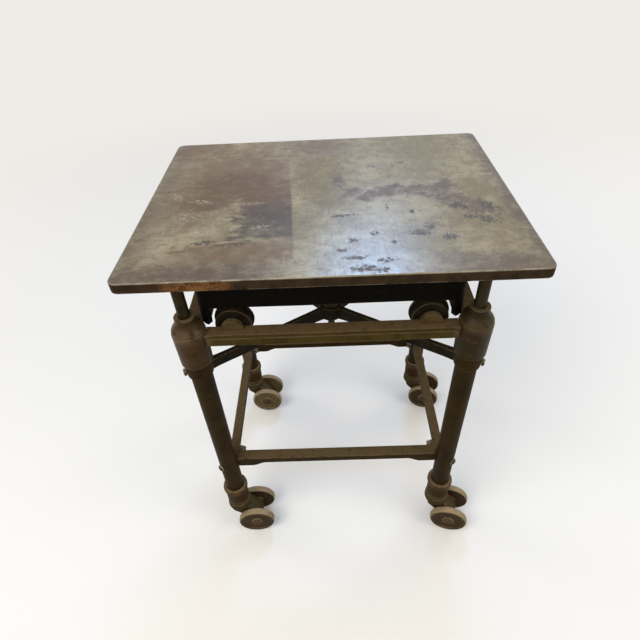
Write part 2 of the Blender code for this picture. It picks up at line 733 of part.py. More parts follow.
def make_brace_bolts(table):
    """Square-headed set bolts through the eyes, with their points against the legs."""
    point = LEG_RADIUS + SEAT_GAP
    seat = EYE_RADIUS + SEAT_GAP
    shank = rod(BRACE_BOLT_RADIUS, (0, 0, point), (0, 0, seat + BRACE_BOLT_HEAD_HEIGHT / 2), PIN_SIDES)
    head = box((BRACE_BOLT_HEAD, BRACE_BOLT_HEAD, BRACE_BOLT_HEAD_HEIGHT),
               (0, 0, seat + BRACE_BOLT_HEAD_HEIGHT / 2))
    mesh = shaped("brace_bolt", joined(head, shank), material("bolt_steel", (0.12, 0.10, 0.075), 0.45, 0.7))
    for corner in CORNERS:
        axis = (*corner_xy(corner), EYE_TOP_Z - BRACE_BOLT_DROP)
        turn = along(-inward(corner, BRACE_BOLT_ANGLE)).to_euler()
        place("brace_bolt_" + corner, mesh, table, axis, turn)


def block_outline():
    """Plan of a stretcher's corner block, as distances inward from the leg axis along X and along Y.

    It runs from the inner side of the beam over the bolt seat and the end face, then round the leg.
    """
    inner = STRETCHER_INSET + STRETCHER_WIDTH / 2
    outer = STRETCHER_INSET - STRETCHER_WIDTH / 2
    cosine = math.cos(STRETCHER_BOLT_ANGLE)
    sine = math.sin(STRETCHER_BOLT_ANGLE)
    seat_start = (BLOCK_SEAT - inner * sine) / cosine
    seat_end = (BLOCK_SEAT - BLOCK_REACH * sine) / cosine
    first = math.acos(BLOCK_END / LEG_SEAT_RADIUS)
    last = math.asin(outer / LEG_SEAT_RADIUS)
    steps = 2 * CURVE_STEPS
    saddle = arc((0, 0), LEG_SEAT_RADIUS / math.cos((first - last) / (2 * steps)), first, last, steps)
    return [(seat_start, inner), (seat_end, BLOCK_REACH), (BLOCK_END, BLOCK_REACH), *saddle]


def stretcher_depth(x):
    """Depth of the front stretcher at a distance from its middle: level, an S-curve, then the haunch."""
    haunch_start = LEG_X - HAUNCH_FLAT
    share = (abs(x) - haunch_start + HAUNCH_CURVE) / HAUNCH_CURVE
    return STRETCHER_DEPTH + (HAUNCH_DEPTH - STRETCHER_DEPTH) * smooth_step(min(max(share, 0.0), 1.0))


def front_stretcher_body():
    """Front stretcher about the middle of the table, its top at height 0, with a corner block at each end."""
    inner_y = -LEG_Y + STRETCHER_INSET + STRETCHER_WIDTH / 2
    outer_y = inner_y - STRETCHER_WIDTH
    haunch_start = LEG_X - HAUNCH_FLAT
    half = np.linspace(haunch_start - HAUNCH_CURVE, haunch_start, CURVE_STEPS + 1)
    stations = [*(-half[::-1]), *half]
    right_block = [(LEG_X - a, -LEG_Y + b) for a, b in block_outline()]
    left_block = [(-x, y) for x, y in right_block[::-1]]
    inner = [(x, inner_y) for x in stations]
    outer = [(x, outer_y) for x in stations[::-1]]
    outline = inner + right_block + outer + left_block
    body = bmesh.new()
    top = [body.verts.new((x, y, 0.0)) for x, y in outline]
    bottom = [body.verts.new((x, y, -stretcher_depth(x))) for x, y in outline]
    count = len(outline)
    for i in range(count):
        j = (i + 1) % count
        body.faces.new((bottom[i], bottom[j], top[j], top[i]))
    body.faces.new(top)
    span = len(stations)
    outer_start = span + len(right_block)
    far = outer_start + span - 1
    for i in range(span - 1):
        body.faces.new((bottom[i], bottom[i + 1], bottom[far - i - 1], bottom[far - i]))
    body.faces.new(bottom[span - 1:outer_start + 1])
    body.faces.new([*bottom[far:], bottom[0]])
    bmesh.ops.recalc_face_normals(body, faces=body.faces[:])
    return body


def make_stretchers(table):
    """Front and rear stretchers with corner blocks; the side stretchers butt between the blocks."""
    front = front_stretcher_body()
    for corner in ("front_left", "front_right"):
        axis = Vector((*corner_xy(corner), -STRETCHER_BOLT_DROP))
        end = axis + 2 * BLOCK_SEAT * inward(corner, STRETCHER_BOLT_ANGLE)
        front = cut(front, rod(over_flats(STRETCHER_BOLT_RADIUS + SEAT_GAP, PIN_SIDES), axis, end, PIN_SIDES))
    surface = material("stretcher_dark_iron", (0.060, 0.047, 0.026), 0.65, 0.4)
    blocked = shaped("stretcher_blocked", front, surface)
    place("stretcher_front", blocked, table, (0, 0, STRETCHER_TOP_Z))
    place("stretcher_rear", blocked, table, (0, 0, STRETCHER_TOP_Z), (0, 0, math.pi))
    nut_reach = ((BLOCK_SEAT + SEAT_GAP) * math.cos(STRETCHER_BOLT_ANGLE)
                 - STRETCHER_NUT_WIDTH / 2 * math.sin(STRETCHER_BOLT_ANGLE))
    width = nut_reach - STRETCHER_NUT_CLEARANCE - BLOCK_END
    length = 2 * (LEG_Y - BLOCK_REACH - SEAT_GAP)
    bar = box((width, length, SIDE_STRETCHER_DEPTH), (0, 0, -SIDE_STRETCHER_DEPTH / 2))
    plain = shaped("stretcher_plain", bar, surface)
    side_x = LEG_X - BLOCK_END - width / 2
    place("stretcher_left", plain, table, (-side_x, 0, STRETCHER_TOP_Z))
    place("stretcher_right", plain, table, (side_x, 0, STRETCHER_TOP_Z))


def make_stretcher_bolts(table):
    """Diagonal bolts: a button head outside the leg, the shank through leg and block, a square nut inside."""
    seat = LEG_RADIUS + SEAT_GAP
    nut_z = BLOCK_SEAT + SEAT_GAP
    end = nut_z + STRETCHER_NUT_HEIGHT + STRETCHER_BOLT_PROUD
    shank_and_head = turned([
        (0, -seat - STRETCHER_BOLT_HEAD_HEIGHT),
        (STRETCHER_BOLT_HEAD_RADIUS / 2, -seat - STRETCHER_BOLT_HEAD_HEIGHT),
        (STRETCHER_BOLT_HEAD_RADIUS, -seat - STRETCHER_BOLT_HEAD_HEIGHT / 2),
        (STRETCHER_BOLT_HEAD_RADIUS, -seat),
        (STRETCHER_BOLT_RADIUS, -seat),
        (STRETCHER_BOLT_RADIUS, end),
        (0, end),
    ], PIN_SIDES)
    nut = box((STRETCHER_NUT_WIDTH, STRETCHER_NUT_WIDTH, STRETCHER_NUT_HEIGHT),
              (0, 0, nut_z + STRETCHER_NUT_HEIGHT / 2))
    mesh = shaped("stretcher_bolt", joined(nut, shank_and_head),
                  material("stretcher_bolt_steel", (0.11, 0.09, 0.065), 0.45, 0.7))
    for corner in CORNERS:
        axis = (*corner_xy(corner), STRETCHER_TOP_Z - STRETCHER_BOLT_DROP)
        place("stretcher_bolt_" + corner, mesh, table, axis,
              along(inward(corner, STRETCHER_BOLT_ANGLE)).to_euler())


def make_caster_sockets(table):
    """Beaded cups under the legs, each with the kingpin its fork turns on."""
    seat = over_flats(LEG_SEAT_RADIUS, TURNED_SIDES)
    bead = CUP_HEIGHT - BEAD_HEIGHT
    profile = [
        (0, -KINGPIN_LENGTH),
        (KINGPIN_RADIUS, -KINGPIN_LENGTH),
        (KINGPIN_RADIUS, 0),
        (CUP_RADIUS - CUP_FOOT_BEVEL, 0),
        (CUP_RADIUS, CUP_FOOT_BEVEL),
        (CUP_RADIUS, bead),
        (CUP_RADIUS + BEAD_PROUD, bead + BEAD_ROUND),
        (CUP_RADIUS + BEAD_PROUD, CUP_HEIGHT - BEAD_ROUND),
        (CUP_RADIUS, CUP_HEIGHT),
        (seat, CUP_HEIGHT),
        (seat, CUP_FLOOR),
        (0, CUP_FLOOR),
    ]
    mesh = shaped("caster_socket", turned(profile, TURNED_SIDES),
                  material("socket_iron", (0.115, 0.080, 0.055), 0.65, 0.4))
    for corner in CORNERS:
        place("caster_socket_" + corner, mesh, table, (*corner_xy(corner), SOCKET_Z))


def horn_outline():
    """Side view of a fork's horn: the outline round its root and round the axle boss, as (x, z) points."""
    root = np.array([0.0, CROWN_Z - HORN_ROOT_DROP])
    boss = np.array([TRAIL, WHEEL_RADIUS])
    span = boss - root
    lean = math.atan2(span[1], span[0])
    open_angle = math.acos((HORN_ROOT_RADIUS - AXLE_BOSS_RADIUS) / np.linalg.norm(span))
    steps = 2 * CURVE_STEPS
    round_boss = arc(boss, AXLE_BOSS_RADIUS, lean - open_angle, lean + open_angle, steps)
    round_root = arc(root, HORN_ROOT_RADIUS, lean + open_angle, lean + 2 * math.pi - open_angle, steps)
    return round_boss + round_root


def fork_body():
    """Caster fork about its swivel axis, standing on the floor plane, trailing towards +X."""
    crown = turned([
        (0, FORK_TOP_Z),
        (FORK_NECK_RADIUS, FORK_TOP_Z),
        (FORK_NECK_RADIUS, FORK_TOP_Z - FORK_NECK_HEIGHT),
        (CROWN_RADIUS, CROWN_Z + CROWN_RIM_HEIGHT),
        (CROWN_RADIUS, CROWN_Z),
        (HORN_HALF_WIDTH, CROWN_Z - CROWN_UNDERCUT_HEIGHT),
        (0, CROWN_Z - CROWN_UNDERCUT_HEIGHT),
    ], TURNED_SIDES)
    outline = horn_outline()
    horn = lofted([[(x, y, z) for x, z in outline] for y in (-HORN_HALF_WIDTH, HORN_HALF_WIDTH)])
    pin_end = SOCKET_Z - KINGPIN_LENGTH - SEAT_GAP
    pin_room = rod(over_flats(KINGPIN_RADIUS + RUNNING_GAP, PIN_SIDES), (0, 0, pin_end),
                   (0, 0, FORK_TOP_Z + KINGPIN_LENGTH), PIN_SIDES)
    axle_room = rod(over_flats(AXLE_RADIUS + SEAT_GAP, PIN_SIDES), (TRAIL, -WHEEL_SPACING, WHEEL_RADIUS),
                    (TRAIL, WHEEL_SPACING, WHEEL_RADIUS), PIN_SIDES)
    return cut(cut(joined(crown, horn), pin_room), axle_room)


def make_casters(table):
    """Swivel casters: fork, axle and two wheels on each leg, turned to their resting yaw."""
    fork = shaped("caster_fork", fork_body(), material("fork_iron", (0.085, 0.080, 0.055), 0.6, 0.4))
    half = WHEEL_OUTER + AXLE_PROUD
    axle = shaped("caster_axle", turned([
        (0, -half),
        (AXLE_RADIUS - AXLE_CHAMFER, -half),
        (AXLE_RADIUS, AXLE_CHAMFER - half),
        (AXLE_RADIUS, half - AXLE_CHAMFER),
        (AXLE_RADIUS - AXLE_CHAMFER, half),
        (0, half),
    ], PIN_SIDES), material("axle_steel", (0.10, 0.085, 0.065), 0.5, 0.7))
    wheel = shaped("caster_wheel", turned(wheel_profile(), WHEEL_SIDES),
                   material("wheel_brown_iron", (0.090, 0.055, 0.028), 0.7, 0.3))
    quarter = math.pi / 2
    hub_face = WHEEL_INNER - WHEEL_HUB_REACH
    for corner, yaw in CASTER_YAW.items():
        swivel = empty("swivel_" + corner, table, (*corner_xy(corner), 0), yaw)
        place("caster_fork_" + corner, fork, swivel)
        place("caster_axle_" + corner, axle, swivel, (TRAIL, 0, WHEEL_RADIUS), (quarter, 0, 0))
        place("caster_wheel_" + corner + "_near", wheel, swivel, (TRAIL, -hub_face, WHEEL_RADIUS), (quarter, 0, 0))
        place("caster_wheel_" + corner + "_far", wheel, swivel, (TRAIL, hub_face, WHEEL_RADIUS), (-quarter, 0, 0))


def main():
    for existing in list(bpy.data.objects):
        bpy.data.objects.remove(existing)
    middle_x, middle_y = box_middle()
    table = empty("table", None, (-middle_x, -middle_y, 0))
    lift = empty("lift", table)
    make_table_top(lift)
    make_apron(lift)
    make_guide_posts(lift)
    make_screw(lift)
    make_lifting_nut(table)
    make_castings(table)
    make_legs(table)
    make_upper_rails(table)
    make_rollers(table)
    make_cross_brace(table)
    make_brace_bolts(table)
    make_stretchers(table)
    make_stretcher_bolts(table)
    make_caster_sockets(table)
    make_casters(table)


main()
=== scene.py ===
"""Dressed model of a printers' turtle table: patinated iron top, rusty castings, dark frame, dusty casters.

Laid out as an add-on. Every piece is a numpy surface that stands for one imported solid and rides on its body.
Metres, +Z up, front towards -Y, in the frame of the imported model.
"""
import functools
import json
import math

import bmesh
import bpy
import numpy as np
from mathutils import Matrix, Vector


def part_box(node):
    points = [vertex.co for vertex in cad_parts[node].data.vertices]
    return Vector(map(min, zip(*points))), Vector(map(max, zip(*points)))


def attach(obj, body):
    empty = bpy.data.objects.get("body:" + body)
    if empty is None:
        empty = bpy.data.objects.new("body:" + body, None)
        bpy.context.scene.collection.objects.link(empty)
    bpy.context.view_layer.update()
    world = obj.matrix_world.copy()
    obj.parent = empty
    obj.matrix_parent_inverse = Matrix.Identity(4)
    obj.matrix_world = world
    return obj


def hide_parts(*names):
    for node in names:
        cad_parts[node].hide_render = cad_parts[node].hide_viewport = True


bl_info = {
    "name": "Printers' Turtle Table",
    "version": (1, 0, 0),
    "blender": (4, 5, 0),
    "location": "View3D > Sidebar > Turtle Table",
    "description": "Builds the worn iron surfaces of a printers' turtle table over its packed solids",
    "category": "Object",
}

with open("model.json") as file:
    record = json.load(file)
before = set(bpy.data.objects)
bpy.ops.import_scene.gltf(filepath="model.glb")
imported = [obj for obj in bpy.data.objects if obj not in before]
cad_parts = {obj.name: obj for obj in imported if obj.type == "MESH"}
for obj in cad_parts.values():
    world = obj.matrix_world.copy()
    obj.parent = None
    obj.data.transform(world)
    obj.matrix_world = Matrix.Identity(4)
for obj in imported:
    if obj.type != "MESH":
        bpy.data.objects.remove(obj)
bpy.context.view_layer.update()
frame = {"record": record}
JOINTS = {joint["name"]: joint for joint in frame["record"]["behaviour"]["joints"]}

# Which way each corner lies from the middle, along X and along Y
CORNERS = {"front_left": (-1, -1), "front_right": (1, -1), "rear_left": (-1, 1), "rear_right": (1, 1)}
UP = np.array([0.0, 0.0, 1.0])
# Points nearer than this become one
WELD = 1e-6
# Flat kept beside a rounded edge, so that the wear of the edge stays on it
EDGE_MARGIN = 0.0012
# Spacing of the rows of a turned surface
ROW_STEP = 0.008
# Folds above the first angle get a bevel, folds above the second are shaded as sharp
BEVEL_FOLD, SHARP_FOLD = math.radians(34), math.radians(50)
# An edge is fully worn where it bends on this radius
WEAR_RADIUS = 0.0015
# Gaps between fixed pieces, round a pipe or screw in a casting, and round a post or axle in its bore
SEAT_GAP, BORE_GAP, PIN_GAP = 0.0003, 0.0005, 0.0002
# Gaps round the elevating screw in its boss and in the lifting nut
BOSS_GAP, THREAD_GAP = 0.0004, 0.00015
# Angle of the bolts from the X axis, in plan
SET_BOLT_TURN, CORNER_BOLT_TURN = math.radians(22), math.radians(49)


def box_of(node):
    """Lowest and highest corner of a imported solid, as arrays."""
    low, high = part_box(node)
    return np.array(low), np.array(high)


def leg_axis(corner):
    """Plan position of a leg's axis, from the box of its pipe."""
    low, high = box_of("leg_tube_" + corner)
    return (low + high)[:2] / 2


def joint_place(name):
    """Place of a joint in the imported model."""
    return np.array(JOINTS[name]["pos_m"])


TOP_LOW, TOP_HIGH = box_of("table_top")
MIDDLE = (TOP_LOW + TOP_HIGH)[:2] / 2
LEG_REACH = leg_axis("rear_right") - MIDDLE


def linear(*shades):
    """Linear colour of an 8-bit screen colour."""
    share = np.array(shades) / 255.0
    return tuple(np.where(share <= 0.04045, share / 12.92, ((share + 0.055) / 1.055) ** 2.4))


def length(name, description, default):
    """Length property of a size group."""
    return bpy.props.FloatProperty(name=name, description=description, default=default, min=0.0,
                                   precision=4, unit="LENGTH")


def colour(name, description, *shades):
    """Colour property of a finish group, given as a screen colour."""
    return bpy.props.FloatVectorProperty(name=name, description=description, default=linear(*shades),
                                         subtype="COLOR", size=3, min=0.0, max=1.0)


class TurtleSizes(bpy.types.PropertyGroup):
    """Sizes of the dressed pieces that their boxes don't give."""

    top_corner: length("Top corner", "Plan radius of the corners of the top", 0.016)
    top_arris: length("Top arris", "Rounding worn on the edges of the top", 0.0022)
    top_arris_wander: length("Arris wander", "How far the rounding comes and goes along the edge", 0.0009)
    apron_rib: length("Apron rib", "Thickness of the front and rear ribs", 0.012)
    apron_side: length("Apron side", "Thickness of the side ribs", 0.020)
    apron_corner: length("Apron corner", "Plan radius of the apron's outer corners", 0.025)
    apron_drop: length("Side rib drop", "How far the side ribs hang below the front rib", 0.045)
    apron_inner: length("Apron inner corner", "Plan radius of the apron's inner corners", 0.006)
    apron_slope: length("Side rib slope", "Length over which a side rib rises to the front rib", 0.0077)
    apron_ripple: length("Apron ripple", "Rise and fall of the cast lower edge", 0.0034)
    apron_level: length("Apron level", "Half of the level stretch of the lower edge over a roller", 0.014)
    apron_ease: length("Apron ease", "Length over which the ripple grows beside a level stretch", 0.030)
    post_radius: length("Post radius", "Radius of the guide posts", 0.012)
    post_flange: length("Post flange", "Height of the flange under the top", 0.010)
    screw_radius: length("Screw radius", "Crest radius of the elevating screw", 0.009)
    screw_lead: length("Screw lead", "Rise of the thread in one turn", 0.00635)
    thread_depth: length("Thread depth", "Depth of the screw thread", 0.0011)
    screw_taper: length("Screw taper", "Height in which the screw's tip would grow by its own radius", 0.012)
    boss_wall: length("Boss wall", "Wall of the boss round the screw", 0.015)
    boss_flange: length("Boss flange", "Height of the boss flange", 0.010)
    nut_flats: length("Nut flats", "Half of the lifting nut's width across flats", 0.023)
    nut_foot: length("Nut foot", "Radius of the round foot of the lifting nut", 0.0225)
    nut_foot_height: length("Nut foot height", "Height of the round foot", 0.004)
    casting_shoulder: length("Casting shoulder", "Height of the shoulder above the casting's foot", 0.085)
    casting_crease: length("Casting crease", "Height of the crease above the shoulder", 0.004)
    casting_step: length("Casting step", "Depth and height of the step at the crease", 0.0022)
    casting_swell: length("Casting swell", "How much wider the shoulder is than the foot", 0.0015)
    # The casting band is both rubbing and a painted highlight on the shoulder
    casting_band: length("Casting band", "Reach of the rubbed band on a casting's shoulder", 0.013)
    casting_seat: length("Casting seat", "Depth of a casting's bore round the leg", 0.058)
    casting_cone: length("Casting cone", "Height of the cone between the bores round leg and post", 0.004)
    collar_height: length("Collar height", "Height of the collar round the post", 0.0095)
    collar_wall: length("Collar wall", "Wall of the collar round the post", 0.0095)
    leg_radius: length("Leg radius", "Outer radius of the pipe legs", 0.02415)
    leg_wall: length("Leg wall", "Wall of the pipe legs", 0.0037)
    leg_waver: length("Leg waver", "How far a leg's surface comes and goes along its length", 0.00012)
    rail_width: length("Rail width", "Width of an upper rail's cap", 0.029)
    rail_cap: length("Rail cap", "Height of an upper rail's cap", 0.008)
    rail_setback: length("Rail setback", "How far the web stands back from the cap", 0.002)
    rail_depth: length("Rail depth", "Depth of an upper rail", 0.0314)
    rail_quirk: length("Rail quirk", "Depth and height of the sunk line under a rail's cap", 0.0036)
    lug_radius: length("Lug radius", "Radius of the half-round roller lugs", 0.0235)
    lug_thickness: length("Lug thickness", "Thickness of the roller lugs", 0.012)
    lug_inset: length("Lug inset", "How far a lug's face stands back from the rail's inner side", 0.0025)
    roller_tread: length("Roller tread", "Radius of a bearer roller's tread", 0.0373)
    roller_flange: length("Roller flange", "Thickness of a bearer roller's flange", 0.0047)
    roller_width: length("Roller width", "Width of a bearer roller", 0.0244)
    roller_boss: length("Roller boss", "Radius of the boss beside a roller", 0.011)
    roller_boss_reach: length("Roller boss reach", "How far the boss stands out from a roller", 0.0027)
    journal_radius: length("Journal radius", "Radius of a roller's journal", 0.006)
    eye_radius: length("Eye radius", "Outer radius of the brace eyes", 0.02845)
    eye_height: length("Eye height", "Height of the brace eyes", 0.0387)
    arm_thickness: length("Arm thickness", "Thickness of the brace arms", 0.012)
    arm_end_depth: length("Arm end depth", "Depth of an arm where it meets its eye", 0.025)
    arm_end_drop: length("Arm end drop", "Arm below the top of its eye", 0.0147)
    arm_setback: length("Arm setback", "How far an arm stands back from the hub's top and underside", 0.001)
    hub_radius: length("Hub radius", "Radius of the brace hub", 0.030)
    hub_top: length("Hub top", "Height of the top of the brace hub", 0.668)
    hub_depth: length("Hub depth", "Depth of the brace hub", 0.036)
    set_bolt_radius: length("Set bolt radius", "Radius of the brace set bolts", 0.0045)
    set_bolt_head: length("Set bolt head", "Half of the width of a set bolt's square head", 0.006)
    set_bolt_head_height: length("Set bolt head height", "Height of a set bolt's head", 0.007)
    bolt_radius: length("Bolt radius", "Radius of the stretcher bolts", 0.00475)
    bolt_head: length("Bolt head", "Radius of a stretcher bolt's domed head", 0.010)
    bolt_head_height: length("Bolt head height", "Height of a stretcher bolt's domed head", 0.0065)
    bolt_nut: length("Bolt nut", "Height, and half of the width, of a stretcher bolt's square nut", 0.0085)
    bolt_proud: length("Bolt proud", "How far a stretcher bolt stands out of its nut", 0.004)
    stretcher_width: length("Stretcher width", "Width of the front and rear stretchers", 0.029)
    stretcher_inset: length("Stretcher inset", "Stretcher's middle inside the leg axes", 0.013)
    stretcher_depth: length("Stretcher depth", "Depth of the stretchers at the middle", 0.020)
    haunch_depth: length("Haunch depth", "Depth of the stretchers at their ends", 0.0325)
    haunch_flat: length("Haunch flat", "Length of the deep end from the leg axis", 0.0645)
    haunch_curve: length("Haunch curve", "Length of the curve between the two depths", 0.036)
    block_reach: length("Block reach", "How far a corner block reaches inward from the leg axis", 0.0392)
    block_seat: length("Block seat", "Distance of the bolt's seat from the leg axis", 0.048)
    block_end: length("Block end", "Distance of a block's end face from the leg axis", 0.002)
    socket_wall: length("Socket wall", "Wall of the caster sockets round the leg", 0.0063)
    socket_bead: length("Socket bead", "Height of the bead round the mouth of a caster socket", 0.017)
    socket_foot: length("Socket foot", "Bevel round the foot of a caster socket", 0.004)
    socket_floor: length("Socket floor", "Thickness of a caster socket's floor", 0.0122)
    kingpin_radius: length("Kingpin radius", "Radius of the pin under a caster socket", 0.008)
    fork_height: length("Fork height", "Height of a fork's top above the rim of its crown", 0.0305)
    fork_bore: length("Fork bore", "Radius of a fork's bore round the kingpin", 0.0082)
    crown_radius: length("Crown radius", "Radius of the fork crown", 0.033)
    crown_rim: length("Crown rim", "Height of the straight rim of the crown", 0.006)
    crown_rise: length("Crown rise", "Height of the crown's dome over its rim", 0.0145)
    crown_undercut: length("Crown undercut", "Depth of the cone under the crown", 0.012)
    neck_radius: length("Neck radius", "Radius of the fork's neck", 0.029)
    horn_half: length("Horn half width", "Half of the horn's width between the wheels", 0.0225)
    horn_root: length("Horn root", "Radius of the horn under the crown", 0.0215)
    horn_drop: length("Horn drop", "Middle of the horn's root below the crown's rim", 0.007)
    horn_boss: length("Horn boss", "Radius of the horn round the axle", 0.019)
    axle_radius: length("Axle radius", "Radius of the caster axles", 0.0068)
    axle_half: length("Axle half length", "Half of the length of the caster axles", 0.048)
    wheel_radius: length("Wheel radius", "Radius of the caster wheels", 0.052)
    wheel_width: length("Wheel width", "Width of a caster wheel's tread", 0.018)
    wheel_hub: length("Wheel hub", "Radius of a wheel's hub", 0.0165)
    wheel_hub_reach: length("Wheel hub reach", "How far the hub stands out towards the fork", 0.0035)
    wheel_offset: length("Wheel offset", "Distance of a wheel's hub from the middle of its fork", 0.0235)
    wheel_rim: length("Wheel rim", "Width of the rim on a wheel's face", 0.009)
    wheel_recess: length("Wheel recess", "Depth of a wheel's face inside the rim", 0.003)
    wheel_slope: length("Wheel slope", "Width of the slope from the rim down to the recess", 0.004)


class TurtleColours(bpy.types.PropertyGroup):
    """Colours of the finishes."""

    top_grey: colour("Top grey", "Bare planed iron of the top", 155, 145, 119)
    top_olive: colour("Top olive", "Darker clouds on the bare iron", 121, 110, 85)
    top_brown: colour("Top brown", "Soft brown patina", 103, 82, 59)
    top_core: colour("Top core", "Deepest brown of the patina on the left of the top", 92, 69, 46)
    top_haze: colour("Top haze", "Olive brown haze on the middle of the top", 105, 91, 61)
    top_umber: colour("Top umber", "Purplish brown patina of borders round the top", 80, 65, 54)
    top_arch: colour("Top arch", "Brown arch on the right of the top", 90, 71, 50)
    top_spot: colour("Top spots", "Dark corrosion spots and the place marked by years of use", 66, 56, 48)
    top_scuff: colour("Top scuffs", "Pale scuffs and rubbed places", 170, 162, 142)
    top_edge: colour("Top edge", "Brown edge of the plate", 62, 48, 34)
    top_flank: colour("Top flank", "Darker brown on the edge of the plate", 44, 34, 23)
    rust_orange: colour("Bright rust", "Fresh rust on the front edge of the top", 128, 88, 52)
    apron_black: colour("Apron black", "Black paint on the apron and boss", 18, 15, 12)
    soot: colour("Soot", "Deepest black in the hollows", 13, 11, 8)
    frame_olive: colour("Frame olive", "Old olive-brown paint on the legs and stretchers", 54, 41, 17)
    frame_dark: colour("Frame dark", "Darker paint in the hollows", 34, 25, 10)
    frame_worn: colour("Frame worn", "Rubbed edges of the frame", 104, 87, 62)
    frame_dust: colour("Frame dust", "Dust and wear on the upper faces of the frame", 96, 80, 54)
    rail_brown: colour("Rail brown", "Worn brown of the upper rails and bolts", 80, 68, 31)
    # On the lugs rail worn is also a painted highlight
    rail_worn: colour("Rail worn", "Rubbed upper faces of the rails", 106, 86, 62)
    brace_black: colour("Brace black", "Sooty brown of the cross brace and rollers", 46, 40, 29)
    casting_rust: colour("Casting rust", "Rusty brown of the corner castings", 72, 50, 24)
    casting_olive: colour("Casting olive", "Old paint left on the castings", 46, 35, 13)
    # Casting tan on the shoulder band is both bare iron and a painted highlight
    casting_tan: colour("Casting tan", "Rubbed shoulders of the castings", 110, 91, 68)
    steel_brown: colour("Steel brown", "Browned steel of posts, screw, nut and axles", 60, 52, 36)
    # Bolt glint is a painted glint: the worn corners of the bolt heads made lighter to stand for highlights
    bolt_glint: colour("Bolt glint", "Bright corners of the bolt heads", 164, 152, 134)
    socket_brown: colour("Socket brown", "Pinkish brown of the caster sockets", 56, 39, 18)
    fork_green: colour("Fork green", "Greenish grey of the fork crowns", 68, 60, 39)
    wheel_dust: colour("Wheel dust", "Dusty tread of the wheels", 154, 134, 104)
    wheel_face: colour("Wheel face", "Brown face of the wheels", 62, 46, 24)
    wheel_olive: colour("Wheel olive", "Lighter olive face of one pair of wheels", 112, 96, 66)
    floor: colour("Floor", "Pale floor and the room behind it", 238, 236, 231)
    floor_shade: colour("Floor shade", "Faint clouds on the floor", 222, 219, 213)
    floor_bounce: colour("Floor bounce", "Tone of the light that the floor throws back", 104, 92, 70)


def smooth_step(share):
    """S-curve from 0 to 1 that starts and ends level."""
    share = np.clip(share, 0.0, 1.0)
    return share * share * (3 - 2 * share)


def wander(share, seed):
    """Seeded sum of sines between about -1 and 1 that closes on itself as the share goes from 0 to 1."""
    pick = np.random.default_rng(seed)
    waves = np.array([2, 3, 5, 7, 11, 17, 29])
    weight = pick.uniform(0.5, 1.0, waves.size) / np.sqrt(waves)
    turn = 2 * np.pi * (np.asarray(share)[..., None] * waves + pick.uniform(0, 1, waves.size))
    return (np.sin(turn) * weight).sum(axis=-1) / weight.sum()


def softened(points, reach, closed=False, steps=4):
    """Polyline whose corners become quadratic curves that begin and end a reach away from the corner.

    A curve takes at most 45 % of either side; the ends of an open line stay where they are. A further point
    just past each end of a curve keeps what happens on the edge from spreading over the flat beside it.
    """
    points = np.asarray(points, float)
    back = np.roll(points, 1, axis=0) - points
    ahead = np.roll(points, -1, axis=0) - points
    back_long = np.linalg.norm(back, axis=1, keepdims=True)
    ahead_long = np.linalg.norm(ahead, axis=1, keepdims=True)
    take = np.minimum(reach, 0.45 * np.minimum(back_long, ahead_long))
    back, ahead = back / np.maximum(back_long, WELD), ahead / np.maximum(ahead_long, WELD)
    start, end = points + back * take, points + ahead * take
    before = start + back * np.minimum(EDGE_MARGIN, 0.3 * (back_long / 2 - take))
    after = end + ahead * np.minimum(EDGE_MARGIN, 0.3 * (ahead_long / 2 - take))
    t = np.linspace(0, 1, steps + 1)[None, :, None]
    curves = (1 - t) ** 2 * start[:, None] + 2 * t * (1 - t) * points[:, None] + t ** 2 * end[:, None]
    curves = np.concatenate([before[:, None], curves, after[:, None]], axis=1)
    if closed:
        return curves.reshape(-1, points.shape[1])
    return np.vstack([points[:1], curves[1:-1].reshape(-1, points.shape[1]), points[-1:]])


def grid_faces(rows, columns):
    """Quads between the neighbouring rows of a grid whose last column joins its first."""
    row, column = np.meshgrid(np.arange(rows - 1), np.arange(columns), indexing="ij")
    following = (column + 1) % columns
    low, high = row * columns, (row + 1) * columns
    corners = [low + column, low + following, high + following, high + column]
    return np.stack(corners, axis=-1).reshape(-1, 4).tolist()


def spread(profile):
    """Profile with points added at even steps of its arc length, away from the points it has."""
    run = np.concatenate([[0.0], np.cumsum(np.linalg.norm(np.diff(profile, axis=0), axis=1))])
    added = np.arange(0, run[-1], ROW_STEP)
    added = added[np.abs(added[:, None] - run).min(axis=1) > 0.2 * ROW_STEP]
    place = np.sort(np.concatenate([run, added]))
    return np.column_stack([np.interp(place, run, profile[:, axis]) for axis in (0, 1)])


def turned(profile, sides, closed=False):
    """Surface of revolution: a profile point (r, z) at angle a lies at (r cos a, r sin a, z)."""
    profile = spread(np.vstack([profile, profile[:1]]) if closed else np.asarray(profile))
    angle = np.linspace(0, 2 * np.pi, sides, endpoint=False)
    radius, height = profile[:, :1], profile[:, 1:]
    points = np.stack([radius * np.cos(angle), radius * np.sin(angle), height + 0 * angle], axis=-1)
    return points.reshape(-1, 3), grid_faces(len(profile), sides)


def lofted(rows, closed=False):
    """Surface through matching closed loops of points, capped flat at both ends, or joined end to end."""
    rows = np.concatenate([rows, rows[:1]]) if closed else np.asarray(rows)
    count, columns = rows.shape[:2]
    faces = grid_faces(count, columns)
    if not closed:
        last = (count - 1) * columns
        faces += [list(range(columns))[::-1], list(range(last, last + columns))]
    return rows.reshape(-1, 3), faces


def placed(shell, origin, along=UP, side=None):
    """Shell moved so that its Z lies along a direction and its X along a side, from an origin."""
    along = np.asarray(along, float) / np.linalg.norm(along)
    if side is None:
        side = np.cross((0.0, 1.0, 0.0) if abs(along[1]) < 0.9 else UP, along)
    side = np.asarray(side, float) - np.dot(side, along) * along
    side /= np.linalg.norm(side)
    turn = np.column_stack([side, np.cross(along, side), along])
    return shell[0] @ turn.T + np.asarray(origin, float), shell[1]


